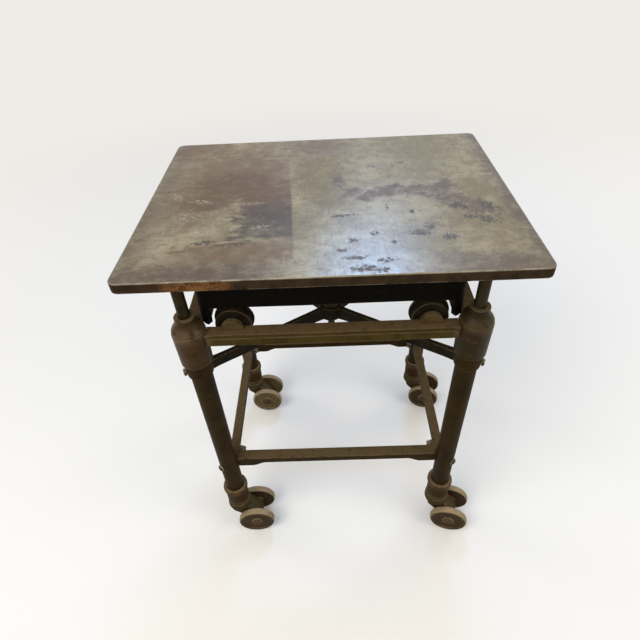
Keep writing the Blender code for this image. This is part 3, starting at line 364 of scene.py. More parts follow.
def joined(*shells):
    """Several shells as one list of points and faces."""
    points, faces, start = [], [], 0
    for shell_points, shell_faces in shells:
        points.append(shell_points)
        faces += [[start + index for index in face] for face in shell_faces]
        start += len(shell_points)
    return np.vstack(points), faces


def level(outline, height):
    """Plan outline of (x, y) points at a height."""
    outline = np.asarray(outline)
    return np.column_stack([outline, np.full(len(outline), height)])


def arc(centre, radius, first, last, count):
    """Points of an arc from one angle to another, ends included."""
    angle = np.linspace(first, last, count)
    return np.column_stack([centre[0] + radius * np.cos(angle), centre[1] + radius * np.sin(angle)])


def round_cornered(half_x, half_y, radius, bend=9, run=48):
    """Plan outline of a rectangle with round corners, anticlockwise, with points along its sides too."""
    signs = ((1, 1), (-1, 1), (-1, -1), (1, -1))
    bends = [arc((sx * (half_x - radius), sy * (half_y - radius)), radius, turn * np.pi / 2,
                 (turn + 1) * np.pi / 2, bend) for turn, (sx, sy) in enumerate(signs)]
    runs = [np.linspace(bends[i][-1], bends[(i + 1) % 4][0], run)[1:-1] for i in range(4)]
    return np.vstack([part for pair in zip(bends, runs) for part in pair])


def polygon_head(sides, flats, height, chamfer, bore=0.0, columns=12):
    """Nut or bolt head with a coned top edge.

    At angle a its wall lies at flats / cos(a folded into one side).
    """
    angle = np.linspace(0, 2 * np.pi, sides * columns, endpoint=False)
    fold = np.mod(angle, 2 * np.pi / sides) - np.pi / sides
    wall = flats / np.cos(fold)
    corner = flats / math.cos(math.pi / sides)
    crown = flats - chamfer
    lip = height - chamfer * (wall - crown) / (corner - crown)
    radii = [bore, wall - chamfer / 2, wall, wall, crown, crown - EDGE_MARGIN, bore]
    heights = [0.0, 0.0, chamfer / 2, lip, height, height, height]
    rows = np.stack([np.column_stack([r * np.cos(angle), r * np.sin(angle), h + 0 * angle])
                     for r, h in zip(radii, heights)])
    if bore:
        return lofted(rows, closed=True)
    return rows.reshape(-1, 3), grid_faces(len(rows), rows.shape[1])


def columns_matrix(*columns):
    """Turn whose columns are three directions, each made a unit long."""
    return Matrix(np.column_stack([np.asarray(c) / np.linalg.norm(c) for c in columns]).tolist())


def vertex_rows(mesh, key):
    """A vector of every vertex, its place or its normal, as the rows of an array."""
    values = np.zeros(len(mesh.vertices) * 3, np.float32)
    mesh.vertices.foreach_get(key, values)
    return values.reshape(-1, 3)


def edge_curvature(mesh):
    """Sharpest outward bend at each vertex: the largest of -2 (d . n) / (d . d) over its edges, per metre."""
    place, normal = vertex_rows(mesh, "co"), vertex_rows(mesh, "normal")
    ends = np.zeros(len(mesh.edges) * 2, np.int32)
    mesh.edges.foreach_get("vertices", ends)
    first, second = ends.reshape(-1, 2).T
    way = place[second] - place[first]
    square = np.maximum((way ** 2).sum(axis=1), WELD ** 2)
    bend = np.zeros(len(place))
    np.maximum.at(bend, first, -2 * (way * normal[first]).sum(axis=1) / square)
    np.maximum.at(bend, second, 2 * (way * normal[second]).sum(axis=1) / square)
    return bend


def make_piece(name, shell, finish, body, node, edge=0.0, marks=None):
    """Object for one piece: welded shell, bevelled sharp edges, wear, ride and replaced solid.

    The flats are inset beside a bevel, so that its wear stays on it. Edge wear is the outward bend times the
    wear radius, and 1 at most. Marks give further attributes from the places of the vertices.
    """
    mesh = bpy.data.meshes.new(name)
    mesh.from_pydata(shell[0].tolist(), [], shell[1])
    work = bmesh.new()
    work.from_mesh(mesh)
    bmesh.ops.remove_doubles(work, verts=work.verts[:], dist=WELD)
    bmesh.ops.dissolve_degenerate(work, edges=work.edges[:], dist=WELD)
    bmesh.ops.recalc_face_normals(work, faces=work.faces[:])
    if edge:
        sharp = [e for e in work.edges if len(e.link_faces) == 2 and e.calc_face_angle(0.0) > BEVEL_FOLD]
        bevel = set(bmesh.ops.bevel(work, geom=sharp, offset=edge, offset_type="OFFSET", segments=2,
                                    profile=0.5, affect="EDGES", clamp_overlap=True)["faces"])
        flats = [face for face in work.faces if face not in bevel]
        bmesh.ops.inset_region(work, faces=flats, thickness=0.75 * edge, use_boundary=True,
                               use_even_offset=True)
    work.to_mesh(mesh)
    work.free()
    mesh.shade_smooth()
    mesh.set_sharp_from_angle(angle=SHARP_FOLD)
    attributes = {"edge_wear": np.clip(edge_curvature(mesh) * WEAR_RADIUS, 0, 1)}
    if marks:
        attributes.update(marks(vertex_rows(mesh, "co")))
    for key, values in attributes.items():
        mesh.attributes.new(key, "FLOAT", "POINT").data.foreach_set("value", np.asarray(values, np.float32))
    mesh.materials.append(finish)
    piece = bpy.data.objects.new(name, mesh)
    bpy.context.scene.collection.objects.link(piece)
    piece.modifiers.new("even_shading", "WEIGHTED_NORMAL").keep_sharp = True
    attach(piece, body)
    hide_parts(node)
    return piece


class Nodes:
    """Node tree under construction: each method adds one kind of node and returns its output."""

    def __init__(self, tree):
        self.tree = tree

    def add(self, kind, inputs=None, **settings):
        """New node with its settings, and its inputs linked or set by name or number."""
        node = self.tree.nodes.new(kind)
        for key, value in settings.items():
            setattr(node, key, value)
        for key, value in (inputs or {}).items():
            self.put(node.inputs[key], value)
        return node

    def put(self, socket, value):
        """Links an output, or sets a plain number, vector or colour on the socket."""
        if isinstance(value, bpy.types.NodeSocket):
            self.tree.links.new(value, socket)
        elif isinstance(value, (int, float)):
            socket.default_value = value
        else:
            value = tuple(value)
            opaque = len(socket.default_value) == 4 and len(value) == 3
            socket.default_value = value + (1.0,) if opaque else value

    def math(self, operation, *values):
        """Operation on one, two or three values."""
        return self.add("ShaderNodeMath", dict(enumerate(values)), operation=operation).outputs[0]

    def times(self, *values):
        """Product of several values."""
        return functools.reduce(lambda first, second: self.math("MULTIPLY", first, second), values)

    def scaled(self, value, factor, base):
        """Value times a factor, plus a base."""
        return self.math("MULTIPLY_ADD", value, factor, base)

    def most(self, *values):
        """Largest of several values."""
        return functools.reduce(lambda first, second: self.math("MAXIMUM", first, second), values)

    def seen(self):
        """1 for rays from the camera, off gloss and through glass, 0 for the rest."""
        ray = self.add("ShaderNodeLightPath").outputs
        return self.most(ray["Is Camera Ray"], ray["Is Glossy Ray"], ray["Is Transmission Ray"])


class Finish(Nodes):
    """Node material under construction, on Object coordinates."""

    def __init__(self, name):
        self.material = bpy.data.materials.new(name)
        self.material.use_nodes = True
        super().__init__(self.material.node_tree)
        self.shader = self.tree.nodes["Principled BSDF"]
        self.place = self.add("ShaderNodeTexCoord").outputs["Object"]

    def mapped(self, location=(0, 0, 0), rotation=(0, 0, 0), scale=(1, 1, 1)):
        """Coordinates as seen from a place, turn and scale of a pattern."""
        inputs = {"Vector": self.place, "Location": location, "Rotation": rotation, "Scale": scale}
        return self.add("ShaderNodeMapping", inputs, vector_type="TEXTURE").outputs[0]

    def noise(self, scale, detail=4.0, rough=0.55, source=None):
        """Noise of a scale, with a number of finer layers and their strength."""
        inputs = {"Vector": source or self.place, "Scale": scale, "Detail": detail, "Roughness": rough}
        return self.add("ShaderNodeTexNoise", inputs).outputs["Fac"]

    def ramp(self, value, low, high):
        """0 below the low value, 1 above the high one, an S-curve between; low above high turns it round."""
        flip = low > high
        inputs = {"Value": value, "From Min": min(low, high), "From Max": max(low, high),
                  "To Min": float(flip), "To Max": float(not flip)}
        return self.add("ShaderNodeMapRange", inputs, interpolation_type="SMOOTHSTEP").outputs["Result"]

    def mix(self, share, first, second):
        """Colour between two colours."""
        return self.add("ShaderNodeMix", {0: share, 6: first, 7: second}, data_type="RGBA").outputs[2]

    def attribute(self, name):
        """Value that make_piece left on the vertices."""
        return self.add("ShaderNodeAttribute", attribute_name=name).outputs["Fac"]

    def parts(self, vector):
        """X, Y and Z of a vector."""
        return self.add("ShaderNodeSeparateXYZ", {0: vector}).outputs

    def distance(self, vector):
        """Length of a vector."""
        return self.add("ShaderNodeVectorMath", {0: vector}, operation="LENGTH").outputs["Value"]

    def upward(self, low, high):
        """1 on faces that look up, 0 on the rest."""
        return self.ramp(self.parts(self.add("ShaderNodeNewGeometry").outputs["Normal"])[2], low, high)

    def patch(self, x, y, long, wide, turn=0.0):
        """Soft oval on the top: 1 near its middle, a half at its half lengths, 0 at nearly twice as far."""
        spot = self.mapped((MIDDLE[0] + x, MIDDLE[1] + y, TOP_HIGH[2]), (0, 0, math.radians(turn)),
                           (long, wide, 1.0))
        return self.ramp(self.distance(spot), 1.8, 0.2)

    def done(self, tone, roughness, height, strength, distance, metallic=0.0, gloss=0.5):
        """Finished material: tone, roughness, metallic and gloss on the shader, and the height as a bump."""
        bump = self.add("ShaderNodeBump", {"Strength": strength, "Distance": distance, "Height": height})
        for key, value in (("Base Color", tone), ("Roughness", roughness), ("Metallic", metallic),
                           ("Specular IOR Level", gloss), ("Normal", bump.outputs[0])):
            self.put(self.shader.inputs[key], value)
        return self.material


def iron_finish(name, tone, deep, worn, rust, rust_share=0.3, dust=0.5, dust_tone=None, rough=0.55,
                metallic=0.0, cast=1.0, gloss=0.05, coat=None):
    """Old painted or browned iron, made once for each name.

    Clouds of a deeper tone, rust where a second noise passes a threshold, dust on faces that look up,
    bare metal along the worn edges and on bands of rubbing, and a cast grain in the bump. On the castings'
    shoulders, the socket beads and the rail lugs those bands are also a painted highlight, and on the bolts
    the worn tone is a painted glint. A coat is a second paint, where the piece is marked as coated.
    """
    known = bpy.data.materials.get(name)
    if known:
        return known
    f = Finish(name)
    clouds = f.noise(22.0, 5.0, 0.6)
    blotch = f.noise(55.0, 6.0, 0.65)
    speck = f.noise(420.0, 3.0, 0.6)
    paint = f.mix(f.attribute("coated"), tone, coat) if coat else tone
    shade = f.mix(f.ramp(clouds, 0.22, 0.72), deep, paint)
    rust_from = 0.76 - 0.3 * rust_share
    rusty = f.ramp(f.scaled(speck, 0.22, blotch), rust_from, rust_from + 0.10)
    shade = f.mix(f.times(rusty, 0.75), shade, rust)
    settled = f.times(f.upward(0.55, 0.97), f.ramp(blotch, 0.18, 0.52))
    shade = f.mix(f.times(settled, dust), shade, dust_tone or worn)
    # Worn edges and marked bands: bare metal, and on castings, socket beads and lugs also a painted highlight
    worn_and_lit = f.most(f.ramp(f.attribute("edge_wear"), 0.22, 0.75), f.attribute("rubbed"))
    bare = f.times(worn_and_lit, f.ramp(blotch, 0.30, 0.56))
    shade = f.mix(f.times(bare, 0.8), shade, worn)
    shade = f.mix(f.ramp(speck, 0.60, 0.78), shade, f.mix(0.45, shade, deep))
    roughness = f.scaled(bare, -0.14, f.scaled(clouds, 0.22, rough - 0.11))
    height = f.scaled(blotch, 0.5 * cast, f.times(speck, 0.35 * cast))
    return f.done(shade, roughness, height, 0.55, 0.0012, metallic, gloss)


# Stains of the top as soft ovals: X and Y from its middle, half length, half width and any turn in degrees
BROWN_OVALS = (
    (-0.205, 0.120, 0.120, 0.150), (-0.150, 0.035, 0.080, 0.090), (-0.285, 0.000, 0.050, 0.110),
    (-0.010, 0.250, 0.080, 0.045), (-0.300, 0.250, 0.080, 0.060), (-0.170, -0.215, 0.120, 0.032))
CORE_OVALS = (
    (-0.200, 0.050, 0.085, 0.065), (-0.130, -0.010, 0.055, 0.080), (-0.250, -0.025, 0.050, 0.035),
    (-0.100, -0.050, 0.050, 0.060))
HAZE_OVALS = ((-0.010, 0.080, 0.055, 0.110), (0.010, -0.030, 0.045, 0.040))
ARCH_OVALS = (
    (0.095, -0.014, 0.040, 0.022, 25), (0.142, 0.000, 0.050, 0.030), (0.194, -0.004, 0.044, 0.030, -8),
    (0.246, 0.008, 0.040, 0.026, 55), (0.262, -0.045, 0.044, 0.030, -55), (0.300, -0.085, 0.042, 0.030, -40),
    (0.030, 0.050, 0.020, 0.028), (0.058, -0.004, 0.034, 0.018, 30))
SPOT_OVALS = (
    (0.031, 0.141, 0.004, 0.014, 8), (0.104, 0.120, 0.012, 0.006), (0.154, 0.118, 0.008, 0.005),
    (0.176, 0.137, 0.008, 0.007), (0.216, 0.114, 0.006, 0.006), (0.269, 0.117, 0.007, 0.006),
    (0.029, -0.099, 0.034, 0.007, 6), (0.119, -0.072, 0.005, 0.016), (0.167, -0.094, 0.008, 0.009),
    (0.194, -0.152, 0.014, 0.016), (0.172, -0.172, 0.024, 0.014), (0.224, -0.190, 0.020, 0.015),
    (0.087, -0.170, 0.010, 0.010), (0.044, -0.190, 0.012, 0.008), (0.262, -0.080, 0.030, 0.014, -25),
    (0.304, -0.132, 0.026, 0.016, -40), (0.319, -0.082, 0.016, 0.024), (0.279, -0.122, 0.024, 0.010),
    (0.119, -0.200, 0.008, 0.007), (0.024, -0.222, 0.010, 0.006), (0.046, -0.247, 0.024, 0.009),
    (0.099, -0.257, 0.020, 0.008), (0.060, -0.280, 0.030, 0.012), (0.088, -0.286, 0.018, 0.010),
    (-0.180, -0.188, 0.040, 0.007, 4), (-0.235, -0.180, 0.026, 0.010), (0.150, 0.020, 0.006, 0.005))
SCUFF_OVALS = (
    (-0.321, 0.008, 0.012, 0.022, 30), (-0.265, -0.018, 0.040, 0.012, -15), (-0.236, -0.142, 0.042, 0.022),
    (-0.131, -0.130, 0.026, 0.011), (-0.190, -0.180, 0.055, 0.009, 4), (-0.290, -0.080, 0.034, 0.032),
    (-0.170, -0.034, 0.055, 0.010))
# Where something lay for years: its edge along X from the middle of the top, the edge's fade and its lean
LAIN_EDGE, LAIN_FADE, LAIN_LEAN = -0.073, 0.006, 0.055
# Bright rust on the front edge: its middle along X, and the distances where it starts to fade and is gone
RUST_MIDDLE, RUST_FULL, RUST_GONE = -0.237, 0.035, 0.075


def top_finish(colours):
    """Planed iron with a century of patina.

    Bare grey iron clouded with olive and smeared along X carries brown stains, soft ovals on the plan.
    A stain shows where its oval plus a share of noise passes a threshold, so it breaks up towards its edge.
    A straight line bounds the brown where something lay for years; fine planing lines run along Y.
    """
    f = Finish("planed_top_iron")
    x, y, z = f.parts(f.place)
    fine = f.noise(260.0, 5.0, 0.65)
    mottle = f.noise(38.0, 7.0, 0.68)
    cloud = f.noise(7.0, 4.0, 0.6)
    fleck = f.noise(140.0, 7.0, 0.76)
    grain = f.times(f.math("ADD", fleck, mottle), 0.6)
    smear = f.noise(1.0, 6.0, 0.70, f.mapped(scale=(0.034, 0.014, 1.0)))
    planing = f.noise(1.0, 4.0, 0.7, f.mapped(scale=(0.0030, 0.055, 1.0)))

    def stain(ovals, noise, share, low, high):
        """Ragged stain: largest of the ovals plus a share of the noise, passed through a ramp."""
        return f.ramp(f.scaled(noise, share, f.most(*(f.patch(*oval) for oval in ovals))), low, high)

    def within(value, low, high, ragged=0.0, noise=smear):
        """Side of a line, with the line made ragged by the noise about its middle."""
        return f.ramp(f.scaled(f.math("SUBTRACT", noise, 0.5), ragged, value), low, high)

    # Masks of the stains
    lain_edge = MIDDLE[0] + LAIN_EDGE
    beside = f.ramp(f.scaled(y, LAIN_LEAN, x), lain_edge, lain_edge - LAIN_FADE)
    brown = f.times(stain(BROWN_OVALS, smear, 1.7, 0.80, 1.75), f.most(beside, f.ramp(y, 0.115, 0.190)))
    core = f.times(stain(CORE_OVALS, f.math("ADD", grain, smear), 1.3, 1.50, 2.25), beside)
    haze = stain(HAZE_OVALS, f.math("ADD", grain, planing), 1.6, 1.75, 2.75)
    lying = f.times(beside, within(x, -0.215, -0.165, 0.22), within(y, -0.015, -0.065, 0.16),
                    within(y, -0.182, -0.160, 0.06))
    arch = stain(ARCH_OVALS, grain, 3.2, 2.05, 2.85)
    spots = stain(SPOT_OVALS, fleck, 4.0, 2.62, 2.92)
    scuffs = stain(SCUFF_OVALS, fleck, 4.2, 2.80, 3.40)
    front_sides = f.most(f.ramp(x, -0.04, -0.16), f.times(f.ramp(x, 0.12, 0.25), 0.8))
    border = f.most(f.times(within(y, -0.225, -0.268, 0.11), front_sides),
                    f.times(within(x, -0.315, -0.372, 0.07, mottle), 0.65),
                    f.times(within(x, 0.325, 0.372, 0.06, mottle), 0.8),
                    f.times(within(f.math("SUBTRACT", x, y), 0.50, 0.66, 0.10, mottle), 0.6))

    # Bare iron, then the stains over it
    tone = f.mix(f.ramp(f.scaled(mottle, 0.8, cloud), 0.72, 1.06), colours.top_grey, colours.top_olive)
    for noise, low, high, share, shade in (
            (f.scaled(fleck, 0.5, smear), 0.76, 0.92, 0.55, colours.top_brown),
            (planing, 0.54, 0.70, 0.42, colours.top_olive), (planing, 0.46, 0.30, 0.35, colours.top_scuff),
            (fleck, 0.43, 0.31, 0.6, colours.top_scuff), (fleck, 0.55, 0.68, 0.5, colours.top_arch),
            (fine, 0.44, 0.64, 0.35, colours.top_olive)):
        tone = f.mix(f.times(f.ramp(noise, low, high), share), tone, shade)
    broken = f.ramp(f.scaled(fine, 0.35, mottle), 0.46, 0.78)
    for mask, least, extra, shade in (
            (haze, 0.45, 0.35, colours.top_haze), (brown, 0.62, 0.30, colours.top_brown),
            (core, 0.62, 0.30, colours.top_core), (border, 0.60, 0.30, colours.top_umber),
            (lying, 0.60, 0.24, colours.top_spot), (arch, 0.52, 0.36, colours.top_arch),
            (scuffs, 0.55, 0.0, colours.top_scuff), (spots, 0.85, 0.0, colours.top_spot)):
        tone = f.mix(f.times(mask, f.scaled(broken, extra, least)), tone, shade)

    # Brown edge of the plate with bright rust at the front, and bare iron along the worn arris
    flank = f.ramp(z, TOP_HIGH[2] - 0.0008, TOP_HIGH[2] - 0.0035)
    rusty = f.times(f.ramp(f.math("ABSOLUTE", f.math("SUBTRACT", x, RUST_MIDDLE)), RUST_GONE, RUST_FULL),
                    f.ramp(f.scaled(fine, 0.5, mottle), 0.52, 0.84),
                    f.ramp(y, TOP_LOW[1] + 0.012, TOP_LOW[1] + 0.004))
    edge_tone = f.mix(f.ramp(mottle, 0.35, 0.62), colours.top_flank, colours.top_edge)
    tone = f.mix(flank, tone, f.mix(rusty, edge_tone, colours.rust_orange))
    bare = f.times(f.ramp(f.attribute("edge_wear"), 0.15, 0.6), f.ramp(mottle, 0.40, 0.62))
    tone = f.mix(f.times(bare, 0.55), tone, colours.top_scuff)

    # Stained places are rougher, and the edge is dull
    matt = f.most(f.times(brown, 0.6), core, lying, arch, spots, border)
    roughness = f.scaled(flank, 0.2, f.scaled(matt, 0.20, f.scaled(mottle, 0.18, 0.17)))
    height = f.scaled(planing, 0.4, f.scaled(mottle, 0.5, f.times(fine, 0.3)))
    polish = f.scaled(flank, -0.9, 1.0)
    return f.done(tone, roughness, height, 0.30, 0.0007, f.times(polish, 0.25), f.times(polish, 0.5))


def wheel_finish(colours):
    """Cast wheel, by distance from the axle: dusty pale tread, brown face and a hub of its own tone."""
    # Distances where the dust of the tread starts and is full, and where the hub's tone is full and gone
    dust_from, dust_full, hub_full, hub_gone = 0.0492, 0.0520, 0.0160, 0.0185
    f = Finish("dusty_caster_iron")
    radius = f.attribute("from_axle")
    light = f.attribute("lighter_face")
    fine = f.noise(380.0, 4.0, 0.65)
    mottle = f.noise(70.0, 6.0, 0.65)
    face = f.mix(light, colours.wheel_face, colours.wheel_olive)
    face = f.mix(f.ramp(mottle, 0.34, 0.62), f.mix(0.5, face, colours.frame_dark), face)
    soiled = f.ramp(f.scaled(fine, 0.4, mottle), 0.60, 0.86)
    dusty = f.mix(soiled, colours.wheel_dust, f.mix(0.5, colours.wheel_dust, colours.wheel_face))
    tread = f.ramp(f.scaled(mottle, 0.003, radius), dust_from, dust_full)
    tone = f.mix(tread, face, dusty)
    hub = f.ramp(radius, hub_gone, hub_full)
    tone = f.mix(f.times(hub, 0.6), tone, f.mix(light, colours.frame_worn, colours.frame_dark))
    settled = f.times(f.upward(0.3, 0.9), f.ramp(mottle, 0.3, 0.6))
    tone = f.mix(f.times(settled, 0.5), tone, colours.wheel_dust)
    bare = f.times(f.ramp(f.attribute("edge_wear"), 0.2, 0.7), f.ramp(mottle, 0.38, 0.6))
    tone = f.mix(f.times(bare, 0.5), tone, colours.wheel_dust)
    height = f.scaled(mottle, 0.6, f.times(fine, 0.5))
    return f.done(tone, f.scaled(mottle, 0.2, 0.6), height, 0.6, 0.0012, gloss=0.2)


def steel_finish(colours):
    """Browned bar steel of posts, screw, nut and axles."""
    return iron_finish("browned_bar_steel", colours.steel_brown, colours.frame_dark, colours.frame_worn,
                       colours.casting_rust, rust_share=0.35, dust=0.4, rough=0.46, metallic=0.3, cast=0.5)


def black_finish(colours):
    """Black paint of the apron and the boss."""
    return iron_finish("black_apron_iron", colours.apron_black, colours.soot, colours.frame_olive,
                       colours.frame_dark, rust_share=0.25, dust=0.15, rough=0.7, cast=1.4)


def frame_finish(colours):
    """Old olive-brown paint of the legs and stretchers, rubbed on the edges."""
    return iron_finish("olive_frame_paint", colours.frame_olive, colours.frame_dark, colours.frame_worn,
                       colours.casting_rust, rust_share=0.12, dust=0.65, dust_tone=colours.frame_dust)


def rubbed_and_lit_band(height, reach, share):
    """Marks for make_piece: a band of rubbing that is also a painted highlight where it catches the light,
    share times exp(-(distance from its height / reach) squared).
    """
    return lambda place: {"rubbed": share * np.exp(-((place[:, 2] - height) / reach) ** 2)}


class MESH_OT_turtle_top(bpy.types.Operator):
    """Build the planed iron top"""
    bl_idname = "mesh.turtle_top"
    bl_label = "Table Top"

    def execute(self, context):
        """Loops of the rounded outline climb the edge and close over the faces.

        The worn rounding is a quarter circle whose radius wanders along the outline.
        """
        sizes, colours = context.scene.turtle_sizes, context.scene.turtle_colours
        half = (TOP_HIGH - TOP_LOW)[:2] / 2
        outline = round_cornered(half[0], half[1], sizes.top_corner)
        way = np.roll(outline, -1, axis=0) - np.roll(outline, 1, axis=0)
        inward = np.column_stack([-way[:, 1], way[:, 0]]) / np.linalg.norm(way, axis=1, keepdims=True)
        share = np.arange(len(outline)) / len(outline)
        quarter = np.linspace(0, np.pi / 2, 5)
        rounds = []
        for height, sign, turns, seed in ((TOP_LOW[2], 1, quarter[::-1], 3), (TOP_HIGH[2], -1, quarter, 8)):
            worn = sizes.top_arris + sizes.top_arris_wander * wander(share, seed)
            rounds.append([np.column_stack([outline + inward * (worn * (1 - math.cos(turn)))[:, None],
                                            height + sign * worn * (1 - math.sin(turn))]) for turn in turns])
        flank = [level(outline, height) for height in np.linspace(TOP_LOW[2], TOP_HIGH[2], 7)[1:-1]]
        shrink = (0.985, 0.93, 0.75, 0.4, 0.0)
        under = [level(outline * s, TOP_LOW[2]) for s in shrink[::-1]]
        over = [level(outline * s, TOP_HIGH[2]) for s in shrink]
        rows = np.stack(under + rounds[0] + flank + rounds[1] + over)
        rows[..., :2] += MIDDLE
        shell = rows.reshape(-1, 3), grid_faces(len(rows), len(outline))
        make_piece("worn_iron_top", shell, top_finish(colours), "lift", "table_top")
        return {"FINISHED"}


class MESH_OT_turtle_apron(bpy.types.Operator):
    """Build the black apron under the top"""
    bl_idname = "mesh.turtle_apron"
    bl_label = "Apron"

    def execute(self, context):
        """A softened upright section is carried round the rounded outline.

        The lower edge follows the side ribs' drop and ripples upward, but stays level over the rollers.
        """
        sizes, colours = context.scene.turtle_sizes, context.scene.turtle_colours
        low, high = box_of("apron_frame")
        half = (high - low)[:2] / 2
        rib_low = low[2] + sizes.apron_drop
        bend = 19
        outer = round_cornered(half[0], half[1], sizes.apron_corner, bend)
        inner = round_cornered(half[0] - sizes.apron_side, half[1] - sizes.apron_rib, sizes.apron_inner, bend)
        share = np.arange(len(outer)) / len(outer)
        off_middle = np.abs(outer[:, 0])
        shoulder = half[0] - sizes.apron_corner + sizes.apron_slope
        rise = np.clip((shoulder - off_middle) / sizes.apron_slope, 0, 1)
        off_roller = np.abs(off_middle - (joint_place("roller_spin_rear_right")[0] - MIDDLE[0]))
        free = smooth_step((off_roller - sizes.apron_level) / sizes.apron_ease)
        ripple = sizes.apron_ripple * (0.5 + 0.5 * wander(share, 21)) * free
        bottom = rib_low - sizes.apron_drop * (1 - rise) + ripple
        thick, tall = sizes.apron_rib, high[2] - rib_low
        section = softened([(0, 0), (0, tall), (thick, tall), (thick, 0)], reach=0.002, closed=True)
        section = section / (thick, tall)
        plan = outer[None] + section[:, :1, None] * (inner - outer)[None]
        height = bottom[None] + section[:, 1:] * (high[2] - bottom)[None]
        rows = np.concatenate([plan + MIDDLE, height[..., None]], axis=-1)
        make_piece("black_apron", lofted(rows, closed=True), black_finish(colours), "lift", "apron_frame")
        return {"FINISHED"}


class MESH_OT_turtle_posts(bpy.types.Operator):
    """Build the guide posts over the legs"""
    bl_idname = "mesh.turtle_posts"
    bl_label = "Guide Posts"

    def execute(self, context):
        """Softened profiles of flange and bar, turned about each leg axis."""
        sizes, colours = context.scene.turtle_sizes, context.scene.turtle_colours
        for corner in CORNERS:
            low, high = box_of("guide_post_" + corner)
            flange = (high - low)[0] / 2
            step = high[2] - sizes.post_flange
            profile = softened([(0, high[2]), (flange, high[2]), (flange, step), (sizes.post_radius, step),
                                (sizes.post_radius, low[2]), (0, low[2])], reach=0.0015)
            shell = placed(turned(profile, sides=40), (*leg_axis(corner), 0))
            make_piece("guide_bar_" + corner, shell, steel_finish(colours), "lift", "guide_post_" + corner)
        return {"FINISHED"}


class MESH_OT_turtle_screw(bpy.types.Operator):
    """Build the elevating screw, its boss and the lifting nut"""
    bl_idname = "mesh.turtle_screw"
    bl_label = "Screw, Boss and Nut"

    def execute(self, context):
        """The screw is a helical grid over a turned boss and a hexagon nut with a round foot.

        Its radius is the crest's less depth times a clipped triangle wave of height over lead less turn.
        """
        sizes, colours = context.scene.turtle_sizes, context.scene.turtle_colours
        steel = steel_finish(colours)
        columns, rows_per_lead = 28, 9
        steepness, crest, tip = 2.6, 0.3, 0.78
        low, high = box_of("elevating_screw")
        angle = np.linspace(0, 2 * np.pi, columns, endpoint=False)
        count = int((high[2] - low[2]) / sizes.screw_lead * rows_per_lead)
        height = np.linspace(low[2], high[2], count)[:, None]
        phase = np.mod((height - low[2]) / sizes.screw_lead - angle / (2 * np.pi), 1.0)
        cut = np.clip(steepness * np.abs(phase - 0.5) - crest, 0, 1)
        taper = np.minimum(1, tip + (height - low[2]) / sizes.screw_taper)
        radius = (sizes.screw_radius - sizes.thread_depth * cut) * taper
        rows = np.stack([radius * np.cos(angle), radius * np.sin(angle), height + 0 * angle], axis=-1)
        make_piece("threaded_lifting_screw", placed(lofted(rows), (*MIDDLE, 0)), steel, "lift",
                   "elevating_screw")

        low, high = box_of("screw_boss")
        bore, wall = sizes.screw_radius + BOSS_GAP, sizes.screw_radius + sizes.boss_wall
        flange, step = (high - low)[0] / 2, high[2] - sizes.boss_flange
        profile = softened([(bore, high[2]), (flange, high[2]), (flange, step), (wall, step), (wall, low[2]),
                            (bore, low[2])], reach=0.002, closed=True)
        make_piece("screw_boss_casting", placed(turned(profile, sides=48, closed=True), (*MIDDLE, 0)),
                   black_finish(colours), "lift", "screw_boss")

        low, high = box_of("lifting_nut")
        bore = sizes.screw_radius + THREAD_GAP
        foot_top, overlap = sizes.nut_foot_height, sizes.nut_foot_height / 2
        foot = softened([(bore, 0), (sizes.nut_foot, 0), (sizes.nut_foot, foot_top), (bore, foot_top)],
                        reach=0.0008, closed=True)
        head = polygon_head(6, sizes.nut_flats, high[2] - low[2] - overlap, chamfer=0.003, bore=bore)
        shell = joined(placed(turned(foot, sides=48, closed=True), (*MIDDLE, low[2])),
                       placed(head, (*MIDDLE, low[2] + overlap)))
        make_piece("hexagon_lifting_nut", shell, steel, "lifting_nut", "lifting_nut",
                   edge=0.0006)
        return {"FINISHED"}


